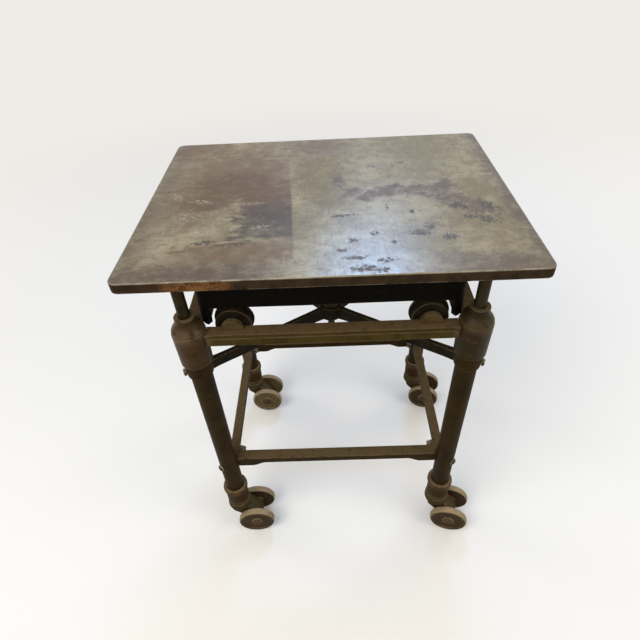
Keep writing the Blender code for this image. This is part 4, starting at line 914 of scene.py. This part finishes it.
class MESH_OT_turtle_castings(bpy.types.Operator):
    """Build the bell-shouldered corner castings"""
    bl_idname = "mesh.turtle_castings"
    bl_label = "Corner Castings"

    def execute(self, context):
        """Turned profile: swelling skirt, crease, flare and collar.

        Up the flare the radius goes from foot to neck by a smooth step of the height.
        """
        sizes, colours = context.scene.turtle_sizes, context.scene.turtle_colours
        rusty = iron_finish("rusty_corner_casting", colours.casting_rust, colours.casting_olive,
                            colours.casting_tan, colours.frame_dark, rust_share=0.20, dust=0.85, rough=0.42,
                            cast=1.3, gloss=0.1)
        olive = iron_finish("olive_corner_casting", colours.casting_olive, colours.frame_dark,
                            colours.frame_dust, colours.casting_rust, rust_share=0.25, dust=0.7, rough=0.42,
                            cast=1.3, gloss=0.1)
        seat, bore = sizes.leg_radius + BORE_GAP, sizes.post_radius + PIN_GAP
        neck = sizes.post_radius + sizes.collar_wall
        shoulder, crease = sizes.casting_shoulder, sizes.casting_shoulder + sizes.casting_crease
        step, round_off, lip = sizes.casting_step, 0.0012, 0.001
        share = np.linspace(0, 1, 13)
        for corner, (sx, _) in CORNERS.items():
            low, high = box_of("corner_casting_" + corner)
            wide, tall = (high - low)[0] / 2, high[2] - low[2]
            foot = wide - round_off
            flare = np.column_stack([foot + (neck - foot) * smooth_step(share),
                                     crease + (tall - sizes.collar_height - crease) * share])
            skirt = softened([(seat, 0), (wide - sizes.casting_swell, 0), (wide, shoulder - lip),
                              (wide - step, shoulder + step), tuple(flare[1])], round_off)
            collar = softened([tuple(flare[-1]), (neck, tall), (bore, tall),
                               (bore, sizes.casting_seat + sizes.casting_cone), (seat, sizes.casting_seat)],
                              round_off)
            profile = np.vstack([skirt[:-1], flare[1:-1], collar])
            shell = placed(turned(profile, sides=56, closed=True), (*leg_axis(corner), low[2]))
            # The band round the shoulder is rubbing plus a painted highlight where the shoulder catches the
            # light
            finish, rubbed = (rusty, 0.9) if sx < 0 else (olive, 0.6)
            make_piece("bell_casting_" + corner, shell, finish, "frame", "corner_casting_" + corner,
                       marks=rubbed_and_lit_band(low[2] + crease, sizes.casting_band, rubbed))
        return {"FINISHED"}


class MESH_OT_turtle_legs(bpy.types.Operator):
    """Build the pipe legs"""
    bl_idname = "mesh.turtle_legs"
    bl_label = "Legs"

    def execute(self, context):
        """Closed pipe profile whose outer radius wavers along its length, turned about the leg axis."""
        sizes, colours = context.scene.turtle_sizes, context.scene.turtle_colours
        inner, stations = sizes.leg_radius - sizes.leg_wall, 40
        for corner in CORNERS:
            low, high = box_of("leg_tube_" + corner)
            height = np.linspace(low[2], high[2], stations)
            waver = sizes.leg_waver * (wander(np.linspace(0, 1, stations), 40 + len(corner)) - 1)
            profile = np.vstack([np.column_stack([sizes.leg_radius + waver, height]),
                                 [(inner, high[2]), (inner, low[2])]])
            shell = placed(turned(profile, sides=48, closed=True), (*leg_axis(corner), 0))
            make_piece("pipe_leg_" + corner, shell, frame_finish(colours), "frame", "leg_tube_" + corner)
        return {"FINISHED"}


def rail_shell(sizes, half_span, seat):
    """Rail along X with its top at height 0.

    Plan outlines between the arcs of two castings are stacked on a softened half section.
    """
    bend, run = 13, 26
    cap = sizes.rail_width / 2
    web = cap - sizes.rail_setback
    quirk = web - sizes.rail_quirk
    under, sunk = -sizes.rail_cap, -sizes.rail_cap - sizes.rail_quirk
    inside, slant, drip_in, drip_up = 0.004, 0.001, 0.0006, 0.0014
    section = softened([(web - inside, -sizes.rail_depth), (web, -sizes.rail_depth), (web, sunk - slant),
                        (quirk, sunk), (quirk, under), (cap - drip_in, under), (cap, under + drip_up),
                        (cap, 0), (cap - inside, 0)], reach=0.0012)
    rows = []
    for half_width, height in section:
        angle = math.asin(half_width / seat)
        right = arc((half_span, 0), seat, math.pi + angle, math.pi - angle, bend)
        left = arc((-half_span, 0), seat, angle, -angle, bend)
        back = np.linspace(right[-1], left[0], run)[1:-1]
        front = np.linspace(left[-1], right[0], run)[1:-1]
        rows.append(level(np.vstack([right, back, left, front]), height))
    return lofted(np.stack(rows))


class MESH_OT_turtle_rails(bpy.types.Operator):
    """Build the upper rails with their roller lugs"""
    bl_idname = "mesh.turtle_rails"
    bl_label = "Upper Rails"

    def execute(self, context):
        """Saddled rails, and on the front and rear ones two discs turned about the roller axes."""
        sizes, colours = context.scene.turtle_sizes, context.scene.turtle_colours
        finish = iron_finish("worn_rail_iron", colours.rail_brown, colours.frame_olive, colours.rail_worn,
                             colours.casting_rust, rust_share=0.25, dust=0.7)
        low, high = box_of("corner_casting_front_left")
        seat = (high - low)[0] / 2 + SEAT_GAP
        rail_top = box_of("upper_rail_left")[1][2]
        disc = turned(softened([(0, 0), (sizes.lug_radius, 0), (sizes.lug_radius, sizes.lug_thickness),
                                (0, sizes.lug_thickness)], reach=0.0016), sides=48)

        def marks(place):
            """Lugs worn bare and painted with a highlight where they catch the light: 0.6 above the rail,
            eased in over the height of the lugs' inset.
            """
            return {"rubbed": 0.6 * smooth_step((place[:, 2] - rail_top) / sizes.lug_inset)}

        for side, sy in (("front", -1), ("rear", 1)):
            middle = (MIDDLE[0], leg_axis(side + "_left")[1], rail_top)
            shells = [placed(rail_shell(sizes, LEG_REACH[0], seat), middle)]
            lug_face = middle[1] - sy * (sizes.rail_width / 2 - sizes.lug_inset)
            for hand in ("_left", "_right"):
                lug_middle = joint_place("roller_spin_" + side + hand)[0]
                shells.append(placed(disc, (lug_middle, lug_face, rail_top), (0, sy, 0)))
            make_piece("lugged_rail_" + side, joined(*shells), finish, "frame", "upper_rail_" + side,
                       marks=marks)
        for side in ("left", "right"):
            middle = (leg_axis("front_" + side)[0], MIDDLE[1], rail_top)
            shell = placed(rail_shell(sizes, LEG_REACH[1], seat), middle, UP, (0, 1, 0))
            make_piece("plain_rail_" + side, shell, finish, "frame", "upper_rail_" + side)
        return {"FINISHED"}


class MESH_OT_turtle_rollers(bpy.types.Operator):
    """Build the flanged bearer rollers"""
    bl_idname = "mesh.turtle_rollers"
    bl_label = "Bearer Rollers"

    def execute(self, context):
        """Softened profile of flange, tread, boss and journal, turned about the roller axis."""
        sizes, colours = context.scene.turtle_sizes, context.scene.turtle_colours
        finish = iron_finish("roller_cast_iron", colours.brace_black, colours.soot, colours.frame_worn,
                             colours.frame_dark, rust_share=0.2, dust=0.15, metallic=0.1)
        half, tread = sizes.roller_width / 2, sizes.roller_tread
        face, boss_end = sizes.roller_flange - half, half + sizes.roller_boss_reach
        for corner, (_, sy) in CORNERS.items():
            node = "bearer_roller_" + corner
            low, high = box_of(node)
            rim, end = (high - low)[2] / 2, high[1] - low[1] - half
            profile = softened([(0, -half), (rim, -half), (rim, face), (tread, face), (tread, half),
                                (sizes.roller_boss, half), (sizes.roller_boss, boss_end),
                                (sizes.journal_radius, boss_end), (sizes.journal_radius, end), (0, end)],
                               reach=0.0011)
            shell = placed(turned(profile, sides=56), joint_place("roller_spin_" + corner), (0, sy, 0))
            make_piece("flanged_roller_" + corner, shell, finish, node, node)
        return {"FINISHED"}


def brace_arm(sizes, corner, eye_top):
    """Arm from the hub to an eye: upright sections that swell by an exponential towards both ends."""
    leg = leg_axis(corner) - MIDDLE
    reach = np.linalg.norm(leg)
    way = leg / reach
    across = np.array([-way[1], way[0]])
    share = np.linspace(0, 1, 25)
    start, end = 0.9 * sizes.hub_radius, reach - 0.93 * sizes.eye_radius
    along = start + (end - start) * share
    swell = 1 + 0.35 * np.exp(-22 * share) + 0.45 * np.exp(-20 * (1 - share))
    fall = (along - sizes.hub_radius) / (reach - sizes.hub_radius)
    root_top, root_depth = sizes.hub_top - sizes.arm_setback, sizes.hub_depth - 2 * sizes.arm_setback
    top = root_top + (eye_top - sizes.arm_end_drop - root_top) * fall
    depth = root_depth + (sizes.arm_end_depth - root_depth) * fall
    half = sizes.arm_thickness / 2
    section = np.array([(-half, -1), (half, -1), (half, 0), (-half, 0)])
    plan = along[:, None, None] * way + section[None, :, :1] * swell[:, None, None] * across + MIDDLE
    height = top[:, None] + section[None, :, 1] * depth[:, None]
    return lofted(np.concatenate([plan, height[..., None]], axis=-1))


class MESH_OT_turtle_brace(bpy.types.Operator):
    """Build the cross brace with its hub and eyes"""
    bl_idname = "mesh.turtle_brace"
    bl_label = "Cross Brace"

    def execute(self, context):
        """Arms carried along the diagonals, with a turned hub and turned eyes round the legs."""
        sizes, colours = context.scene.turtle_sizes, context.scene.turtle_colours
        finish = iron_finish("black_brace_iron", colours.brace_black, colours.soot, colours.frame_worn,
                             colours.frame_olive, rust_share=0.15, dust=0.2, rough=0.58,
                             coat=colours.frame_olive)
        eye_top = box_of("brace_arm_front_right")[1][2]
        eye_low, hub_low = eye_top - sizes.eye_height, sizes.hub_top - sizes.hub_depth
        seat, bore = sizes.leg_radius + SEAT_GAP, sizes.screw_radius + BORE_GAP
        ring = softened([(seat, eye_low), (sizes.eye_radius, eye_low), (sizes.eye_radius, eye_top),
                         (seat, eye_top)], reach=0.0014, closed=True)
        hub = softened([(bore, hub_low), (sizes.hub_radius, hub_low), (sizes.hub_radius, sizes.hub_top),
                        (bore, sizes.hub_top)], reach=0.002, closed=True)
        eye, hub = turned(ring, sides=56, closed=True), turned(hub, sides=56, closed=True)
        arms = {corner: [brace_arm(sizes, corner, eye_top), placed(eye, (*leg_axis(corner), 0))]
                for corner in CORNERS}
        painted, fade = 1.3 * sizes.eye_radius, 0.006

        def marks(place):
            """Paint of the legs on the eyes: 1 near a leg axis, fading out a little past the eye."""
            away = np.abs(np.abs(place[:, :2] - MIDDLE) - LEG_REACH)
            return {"coated": smooth_step((painted - np.linalg.norm(away, axis=1)) / fade)}

        edge = 0.0016
        shell = joined(*arms["front_left"], *arms["rear_right"], placed(hub, (*MIDDLE, 0)))
        make_piece("long_brace_arm", shell, finish, "frame", "cross_brace_main", edge, marks)
        for corner in ("front_right", "rear_left"):
            make_piece("half_brace_arm_" + corner, joined(*arms[corner]), finish, "frame",
                       "brace_arm_" + corner, edge, marks)
        return {"FINISHED"}


class MESH_OT_turtle_bolts(bpy.types.Operator):
    """Build the set bolts of the brace and the bolts of the stretchers"""
    bl_idname = "mesh.turtle_bolts"
    bl_label = "Bolts"

    def execute(self, context):
        """Polygon heads and nuts on turned shanks, along the level direction of each bolt."""
        sizes, colours = context.scene.turtle_sizes, context.scene.turtle_colours
        # The bolts' worn tone is bolt glint: worn corners with a painted glint on them
        finish = iron_finish("bolt_head_steel", colours.rail_brown, colours.frame_dark, colours.bolt_glint,
                             colours.casting_rust, rust_share=0.25, dust=0.3, rough=0.40, metallic=0.4,
                             cast=0.4)
        edge, leg_seat = 0.0005, sizes.leg_radius + SEAT_GAP
        square_on = UP, (1, 1, 0)

        radius, head_seat, sunk = sizes.set_bolt_radius, sizes.eye_radius + SEAT_GAP, 0.003
        root = head_seat + sunk
        shank = softened([(0, leg_seat), (radius, leg_seat), (radius, root), (0, root)], reach=0.0006)
        head = polygon_head(4, sizes.set_bolt_head, sizes.set_bolt_head_height, chamfer=0.0014)
        set_bolt = joined(turned(shank, sides=24), placed(head, (0, 0, head_seat), *square_on))

        nut_seat, turn = sizes.block_seat + SEAT_GAP, np.linspace(0, math.pi / 2, 9)
        end = nut_seat + sizes.bolt_nut + sizes.bolt_proud
        dome = np.column_stack([sizes.bolt_head * np.sin(turn),
                                -leg_seat - sizes.bolt_head_height * np.cos(turn)])
        shank = softened([(sizes.bolt_head, -leg_seat), (sizes.bolt_radius, -leg_seat),
                          (sizes.bolt_radius, end), (0, end)], reach=0.0007)
        nut = polygon_head(4, sizes.bolt_nut, sizes.bolt_nut, chamfer=0.0016)
        corner_bolt = joined(turned(np.vstack([dome[:-1], shank]), sides=32),
                             placed(nut, (0, 0, nut_seat), *square_on))

        for corner, (sx, sy) in CORNERS.items():
            for name, node, shell, angle, way in (
                    ("square_set_bolt_", "brace_bolt_", set_bolt, SET_BOLT_TURN, 1),
                    ("corner_bolt_", "stretcher_bolt_", corner_bolt, CORNER_BOLT_TURN, -1)):
                low, high = box_of(node + corner)
                out = way * np.array([sx * math.cos(angle), sy * math.sin(angle), 0.0])
                centre = (*leg_axis(corner), (low + high)[2] / 2)
                make_piece(name + corner, placed(shell, centre, out, UP), finish, "frame", node + corner,
                           edge)
        return {"FINISHED"}


def stretcher_shell(sizes):
    """Front stretcher with its top at height 0: a plan outline whose lower edge follows the haunch.

    The depth is the middle's plus the haunch's extra depth times a smooth step of the way into its curve.
    """
    leg_x, leg_y = LEG_REACH
    seat = sizes.leg_radius + SEAT_GAP
    inner = sizes.stretcher_inset + sizes.stretcher_width / 2
    outer = sizes.stretcher_inset - sizes.stretcher_width / 2
    cosine, sine = math.cos(CORNER_BOLT_TURN), math.sin(CORNER_BOLT_TURN)
    saddle = arc((0, 0), seat, math.acos(sizes.block_end / seat), math.asin(outer / seat), 17)
    block = np.vstack([[((sizes.block_seat - inner * sine) / cosine, inner),
                        ((sizes.block_seat - sizes.block_reach * sine) / cosine, sizes.block_reach),
                        (sizes.block_end, sizes.block_reach)], saddle])
    right = np.array([leg_x, -leg_y]) + block * (-1, 1)
    left = right[::-1] * (-1, 1)
    curve_end = leg_x - sizes.haunch_flat
    half = np.linspace(curve_end - sizes.haunch_curve, curve_end, 13)
    stations = np.concatenate([-half[::-1], half])
    inner_side = np.column_stack([stations, np.full(stations.size, inner - leg_y)])
    outer_side = np.column_stack([stations[::-1], np.full(stations.size, outer - leg_y)])
    outline = np.vstack([inner_side, right, outer_side, left])
    share = (np.abs(outline[:, 0]) - curve_end + sizes.haunch_curve) / sizes.haunch_curve
    depth = sizes.stretcher_depth + (sizes.haunch_depth - sizes.stretcher_depth) * smooth_step(share)
    count, span = len(outline), stations.size
    points = np.vstack([np.column_stack([outline, -depth]), level(outline, 0.0)])
    # Underside: strips between the two sides, and one face below each end
    first, far = np.arange(span - 1), 2 * span + len(right) - 1
    strips = np.stack([first, first + 1, far - first - 1, far - first], axis=-1).tolist()
    faces = grid_faces(2, count) + strips
    faces += [list(range(count, 2 * count)), list(range(span - 1, span + len(right) + 1)),
              list(range(far, count)) + [0]]
    return points, faces


class MESH_OT_turtle_stretchers(bpy.types.Operator):
    """Build the lower stretchers"""
    bl_idname = "mesh.turtle_stretchers"
    bl_label = "Stretchers"

    def execute(self, context):
        """Haunched front and rear stretchers with corner blocks, and plain bars between the blocks."""
        sizes, colours = context.scene.turtle_sizes, context.scene.turtle_colours
        finish, edge = frame_finish(colours), 0.002
        top = box_of("stretcher_front")[1][2]
        shells = {side: placed(stretcher_shell(sizes), (*MIDDLE, top), UP, (turn, 0, 0))
                  for side, turn in (("front", 1), ("rear", -1))}
        for side in ("left", "right"):
            low, high = box_of("stretcher_" + side)
            half = (high - low) / 2
            section = np.array([(-1, -1), (1, -1), (1, 1), (-1, 1)]) * half[[0, 2]]
            rows = np.stack([np.column_stack([section[:, 0], np.full(4, y), section[:, 1]])
                             for y in np.linspace(-half[1], half[1], 14)])
            shells[side] = lofted(rows + (low + high) / 2)
        for side, shell in shells.items():
            kind = "haunched" if side in ("front", "rear") else "plain"
            make_piece(kind + "_stretcher_" + side, shell, finish, "frame", "stretcher_" + side,
                       edge)
        return {"FINISHED"}


class MESH_OT_turtle_sockets(bpy.types.Operator):
    """Build the beaded caster sockets"""
    bl_idname = "mesh.turtle_sockets"
    bl_label = "Caster Sockets"

    def execute(self, context):
        """Turned cup with a half-round bead at its mouth, a floor and the kingpin below."""
        sizes, colours = context.scene.turtle_sizes, context.scene.turtle_colours
        finish = iron_finish("beaded_socket_iron", colours.socket_brown, colours.frame_olive,
                             colours.casting_tan, colours.casting_rust, rust_share=0.3, dust=0.8)
        cup_low = box_of("caster_fork_front_left")[1][2] + SEAT_GAP
        seat, cup = sizes.leg_radius + BORE_GAP, sizes.leg_radius + sizes.socket_wall
        pin, floor = sizes.kingpin_radius, cup_low + sizes.socket_floor
        turn = np.linspace(-math.pi / 2, math.pi / 2, 13)
        fullness = 0.7
        for corner in CORNERS:
            low, high = box_of("caster_socket_" + corner)
            proud, bead_middle = (high - low)[0] / 2 - cup, high[2] - sizes.socket_bead / 2
            bead = np.column_stack([cup + proud * np.cos(turn) ** fullness,
                                    bead_middle + sizes.socket_bead / 2 * np.sin(turn)])
            outside = softened([(0, low[2]), (pin, low[2]), (pin, cup_low),
                                (cup - sizes.socket_foot, cup_low), (cup, cup_low + sizes.socket_foot),
                                tuple(bead[0])], reach=0.0012)
            profile = np.vstack([outside[:-1], bead, [(seat, high[2]), (seat, floor), (0, floor)]])
            shell = placed(turned(profile, sides=56), (*leg_axis(corner), 0))
            # The band on the bead is rubbing plus a painted highlight where the bead catches the light
            make_piece("beaded_socket_" + corner, shell, finish, "frame", "caster_socket_" + corner,
                       marks=rubbed_and_lit_band(bead_middle, 0.6 * sizes.socket_bead, 0.6))
        return {"FINISHED"}


def caster_way(corner):
    """Foot of a caster's swivel axis on the floor, its axle, and the directions of trail and axle."""
    pivot = joint_place("caster_swivel_" + corner)
    axle = joint_place("wheel_spin_" + corner + "_near")
    trail = (axle - pivot) * (1, 1, 0)
    trail /= np.linalg.norm(trail)
    return pivot * (1, 1, 0), axle, trail, np.cross(UP, trail)


def horn_shell(sizes, root, boss):
    """Fork horn: the belt round a root circle and a boss circle, carried across with softened edges."""
    span = np.subtract(boss, root)
    lean = math.atan2(span[1], span[0])
    opening = math.acos((sizes.horn_root - sizes.horn_boss) / np.linalg.norm(span))
    start, end = lean - opening, lean + opening
    half, inside, bend = sizes.horn_half, 0.005, 17
    rows = []
    for inset, side in softened([(inside, -half), (0, -half), (0, half), (inside, half)], reach=0.0035):
        belt = np.vstack([arc(boss, sizes.horn_boss - inset, start, end, bend),
                          arc(root, sizes.horn_root - inset, end, start + 2 * math.pi, bend)])
        rows.append(np.column_stack([belt[:, 0], np.full(len(belt), side), belt[:, 1]]))
    return lofted(np.stack(rows))


class MESH_OT_turtle_forks(bpy.types.Operator):
    """Build the caster forks and axles"""
    bl_idname = "mesh.turtle_forks"
    bl_label = "Caster Forks"

    def execute(self, context):
        """Turned dome and neck over a horn between the wheels, and an axle with peened ends.

        The dome narrows with the square of its share and rises with the sine of a quarter turn.
        """
        sizes, colours = context.scene.turtle_sizes, context.scene.turtle_colours
        finish = iron_finish("greenish_fork_iron", colours.fork_green, colours.frame_olive,
                             colours.casting_tan, colours.casting_rust, rust_share=0.2, dust=0.8)
        share, narrowing = np.linspace(0, 1, 9), sizes.neck_radius - sizes.crown_radius
        half, radius, peen_in, peen_long = sizes.axle_half, sizes.axle_radius, 0.0012, 0.0014
        pin = softened([(0, -half), (radius - peen_in, -half), (radius, peen_long - half),
                        (radius, half - peen_long), (radius - peen_in, half), (0, half)], reach=0.0009)
        for corner in CORNERS:
            foot, axle, trail, across = caster_way(corner)
            body = "caster_" + corner
            top = box_of("caster_fork_" + corner)[1][2]
            rim = top - sizes.fork_height
            under = rim - sizes.crown_undercut
            dome = np.column_stack([sizes.crown_radius + narrowing * share ** 2,
                                    rim + sizes.crown_rim + sizes.crown_rise * np.sin(share * np.pi / 2)])
            lower = softened([(sizes.fork_bore, under), (sizes.horn_half, under), (sizes.crown_radius, rim),
                              tuple(dome[0])], reach=0.0016)
            upper = softened([tuple(dome[-1]), (sizes.neck_radius, top), (sizes.fork_bore, top)],
                             reach=0.0018)
            crown = turned(np.vstack([lower[:-1], dome[:-1], upper]), sides=48, closed=True)
            horn = horn_shell(sizes, (0.0, rim - sizes.horn_drop), (np.dot(axle - foot, trail), axle[2]))
            make_piece("domed_fork_" + corner, placed(joined(crown, horn), foot, UP, trail), finish, body,
                       "caster_fork_" + corner)
            make_piece("peened_axle_" + corner, placed(turned(pin, sides=32), axle, across),
                       steel_finish(colours), body, "caster_axle_" + corner)
        return {"FINISHED"}


class MESH_OT_turtle_wheels(bpy.types.Operator):
    """Build the twin caster wheels"""
    bl_idname = "mesh.turtle_wheels"
    bl_label = "Caster Wheels"

    def execute(self, context):
        """Turned section: inner hub, crowned tread, rim, recess and outer hub.

        The tread falls off by the fourth power of the distance from its middle.
        """
        sizes, colours = context.scene.turtle_sizes, context.scene.turtle_colours
        finish = wheel_finish(colours)
        bore, tread, hub = sizes.axle_radius + PIN_GAP, sizes.wheel_radius, sizes.wheel_hub
        back, rim = sizes.wheel_hub_reach, sizes.wheel_radius - sizes.wheel_rim
        face = back + sizes.wheel_width
        hollow = face - sizes.wheel_recess
        fall, back_bevel, face_bevel, hub_round, hub_lip = 0.0006, 0.002, 0.003, 0.002, 0.0004
        share = np.linspace(0, 1, 9)
        crown = np.column_stack([tread - fall * (2 * share - 1) ** 4,
                                 np.linspace(back + back_bevel / 2, face - face_bevel, share.size)])
        section = softened(np.vstack([
            [(bore, 0), (hub, 0), (hub, back), (tread - back_bevel, back)], crown,
            [(tread - face_bevel, face), (rim, face), (rim - sizes.wheel_slope, hollow),
             (hub + hub_round, hollow), (hub, face - hub_lip), (hub - hub_round, face), (bore, face)]]),
            reach=0.0012, closed=True)
        wheel = turned(section, sides=72, closed=True)
        for corner in CORNERS:
            _, axle, _, across = caster_way(corner)
            lighter = float(corner == "rear_left")

            def marks(place, axle=axle, across=across, lighter=lighter):
                """Distance of each point from the axle, and whether the face is the lighter one."""
                way = place - axle
                off = way - (way @ across)[:, None] * across
                return {"from_axle": np.linalg.norm(off, axis=1),
                        "lighter_face": np.full(len(place), lighter)}

            for side, sign in (("near", -1), ("far", 1)):
                node = "caster_wheel_" + corner + "_" + side
                shell = placed(wheel, axle + sign * sizes.wheel_offset * across, sign * across, UP)
                make_piece("dusty_wheel_" + corner + "_" + side, shell, finish, node, node,
                           marks=marks)
        return {"FINISHED"}


def lay_floor(scene, colours):
    """Square grid on the ground. To the camera its tone fades by distance into the pale room."""
    count, reach, fade_from, fade_to = 9, 9.0, 1.2, 4.0
    across, along = np.meshgrid(*[np.linspace(-reach, reach, count)] * 2)
    points = np.column_stack([across.ravel(), along.ravel(), np.zeros(count * count)])
    row, column = np.meshgrid(np.arange(count - 1), np.arange(count - 1), indexing="ij")
    first = (row * count + column).ravel()
    quads = np.stack([first, first + 1, first + count + 1, first + count], axis=-1)
    mesh = bpy.data.meshes.new("pale_floor")
    mesh.from_pydata(points.tolist(), [], quads.tolist())

    f = Finish("pale_studio_floor")
    seen = f.seen()
    pale = f.mix(f.times(f.noise(3.0, 3.0, 0.5), 0.12), colours.floor, colours.floor_shade)
    faded = f.times(seen, f.ramp(f.distance(f.place), fade_from, fade_to))
    f.put(f.shader.inputs["Emission Color"], colours.floor)
    f.put(f.shader.inputs["Emission Strength"], faded)
    tone = f.mix(faded, f.mix(seen, colours.floor_bounce, pale), (0.0, 0.0, 0.0))
    mesh.materials.append(f.done(tone, 0.8, f.noise(90.0), 0.05, 0.001, gloss=0.0))

    floor = bpy.data.objects.new("pale_floor", mesh)
    scene.collection.objects.link(floor)


def hang_lamps(scene):
    """Round softboxes that the camera can't see, each with its name, place, aim, width, watts and tint."""
    for name, place, aim, width, watts, tint in (
            ("key_softbox", (-1.4, -1.6, 3.0), (0, 0, 0.6), 2.2, 60.0, (1.0, 0.985, 0.96)),
            ("fill_softbox", (2.4, -1.2, 2.0), (0, 0, 0.5), 2.0, 24.0, (1.0, 0.98, 0.95)),
            ("left_rear_softbox", (-3.8, 1.7, 1.5), (0, 0, 0.5), 1.6, 27.0, (1.0, 0.98, 0.95)),
            ("right_rear_softbox", (3.4, 2.4, 1.6), (0, 0, 0.5), 1.6, 28.0, (1.0, 0.98, 0.95)),
            ("rear_window", (0.38, 2.7, 3.48), (0.06, -0.28, 0.97), 0.9, 42.0, (0.32, 0.53, 1.0))):
        lamp = bpy.data.lights.new(name, "AREA")
        lamp.shape = "DISK"
        lamp.size = width
        lamp.energy = watts
        lamp.color = tint
        holder = bpy.data.objects.new(name, lamp)
        holder.location = place
        holder.visible_camera = False
        way = np.subtract(place, aim)
        side = np.cross(UP, way)
        holder.rotation_euler = columns_matrix(side, np.cross(way, side), way).to_euler()
        scene.collection.objects.link(holder)


def open_room(scene, colours):
    """World: pale to the camera, gloss and glass, and a soft warm light to everything else."""
    world = bpy.data.worlds.new("soft_room")
    world.use_nodes = True
    room = Nodes(world.node_tree)
    soft = world.node_tree.nodes["Background"]
    room.put(soft.inputs["Color"], (1.0, 0.981, 0.936))
    room.put(soft.inputs["Strength"], 0.5475)
    pale = room.add("ShaderNodeBackground", {"Color": colours.floor})
    either = room.add("ShaderNodeMixShader", {0: room.seen(), 1: soft.outputs[0], 2: pale.outputs[0]})
    room.put(world.node_tree.nodes["World Output"].inputs["Surface"], either.outputs[0])
    scene.world = world


# Camera of the photograph: X from the middle of the top, Y and Z; pitch, yaw and roll in degrees; millimetres
CAMERA_PLACE, CAMERA_TURN = (-0.00036, -0.94642, 1.45233), (41.66063, -1.78140, 3.23453)
CAMERA_SENSOR, CAMERA_LENS = 36.0, 27.056


def aim_camera(scene):
    """Camera turned by its pitch, yaw and roll: the directions right and down are rolled about ahead."""
    lens = bpy.data.cameras.new("photo_camera")
    lens.sensor_width = CAMERA_SENSOR
    lens.lens = CAMERA_LENS
    camera = bpy.data.objects.new("photo_camera", lens)
    pitch, yaw, roll = (math.radians(angle) for angle in CAMERA_TURN)
    ahead = np.array([math.sin(yaw) * math.cos(pitch), math.cos(yaw) * math.cos(pitch), -math.sin(pitch)])
    right = np.array([math.cos(yaw), -math.sin(yaw), 0.0])
    down = np.cross(ahead, right)
    tilted = math.cos(roll) * right + math.sin(roll) * down
    lowered = math.cos(roll) * down - math.sin(roll) * right
    camera.location = (MIDDLE[0] + CAMERA_PLACE[0], *CAMERA_PLACE[1:])
    camera.rotation_euler = columns_matrix(tilted, -lowered, -ahead).to_euler()
    scene.collection.objects.link(camera)
    scene.camera = camera


class SCENE_OT_turtle_stage(bpy.types.Operator):
    """Set the pale floor, the soft lights and the camera"""
    bl_idname = "scene.turtle_stage"
    bl_label = "Stage"

    def execute(self, context):
        """Floor, lamps, room and camera, each by its own function."""
        scene = context.scene
        lay_floor(scene, scene.turtle_colours)
        hang_lamps(scene)
        open_room(scene, scene.turtle_colours)
        aim_camera(scene)
        scene.view_settings.view_transform = "Standard"
        return {"FINISHED"}


BUILDERS = (MESH_OT_turtle_top, MESH_OT_turtle_apron, MESH_OT_turtle_posts, MESH_OT_turtle_screw,
            MESH_OT_turtle_castings, MESH_OT_turtle_legs, MESH_OT_turtle_rails, MESH_OT_turtle_rollers,
            MESH_OT_turtle_brace, MESH_OT_turtle_bolts, MESH_OT_turtle_stretchers, MESH_OT_turtle_sockets,
            MESH_OT_turtle_forks, MESH_OT_turtle_wheels, SCENE_OT_turtle_stage)


class VIEW3D_PT_turtle_table(bpy.types.Panel):
    """Builders, sizes and colours of the turtle table"""
    bl_idname = "VIEW3D_PT_turtle_table"
    bl_label = "Turtle Table"
    bl_space_type = "VIEW_3D"
    bl_region_type = "UI"
    bl_category = "Turtle Table"

    def draw(self, context):
        """Button for each builder, then every size and colour."""
        for builder in BUILDERS:
            self.layout.operator(builder.bl_idname)
        for group in (context.scene.turtle_sizes, context.scene.turtle_colours):
            for name in group.__annotations__:
                self.layout.prop(group, name)


CLASSES = (TurtleSizes, TurtleColours, *BUILDERS, VIEW3D_PT_turtle_table)


def register():
    """Registers the classes and hangs the two property groups on the scene."""
    for item in CLASSES:
        bpy.utils.register_class(item)
    bpy.types.Scene.turtle_sizes = bpy.props.PointerProperty(type=TurtleSizes)
    bpy.types.Scene.turtle_colours = bpy.props.PointerProperty(type=TurtleColours)


def unregister():
    """Takes the property groups and the classes away again."""
    del bpy.types.Scene.turtle_sizes
    del bpy.types.Scene.turtle_colours
    for item in reversed(CLASSES):
        bpy.utils.unregister_class(item)


def main():
    """Builds every piece and the stage in order."""
    register()
    for builder in BUILDERS:
        group, action = builder.bl_idname.split(".")
        getattr(getattr(bpy.ops, group), action)()


if __name__ == "__main__":
    main()
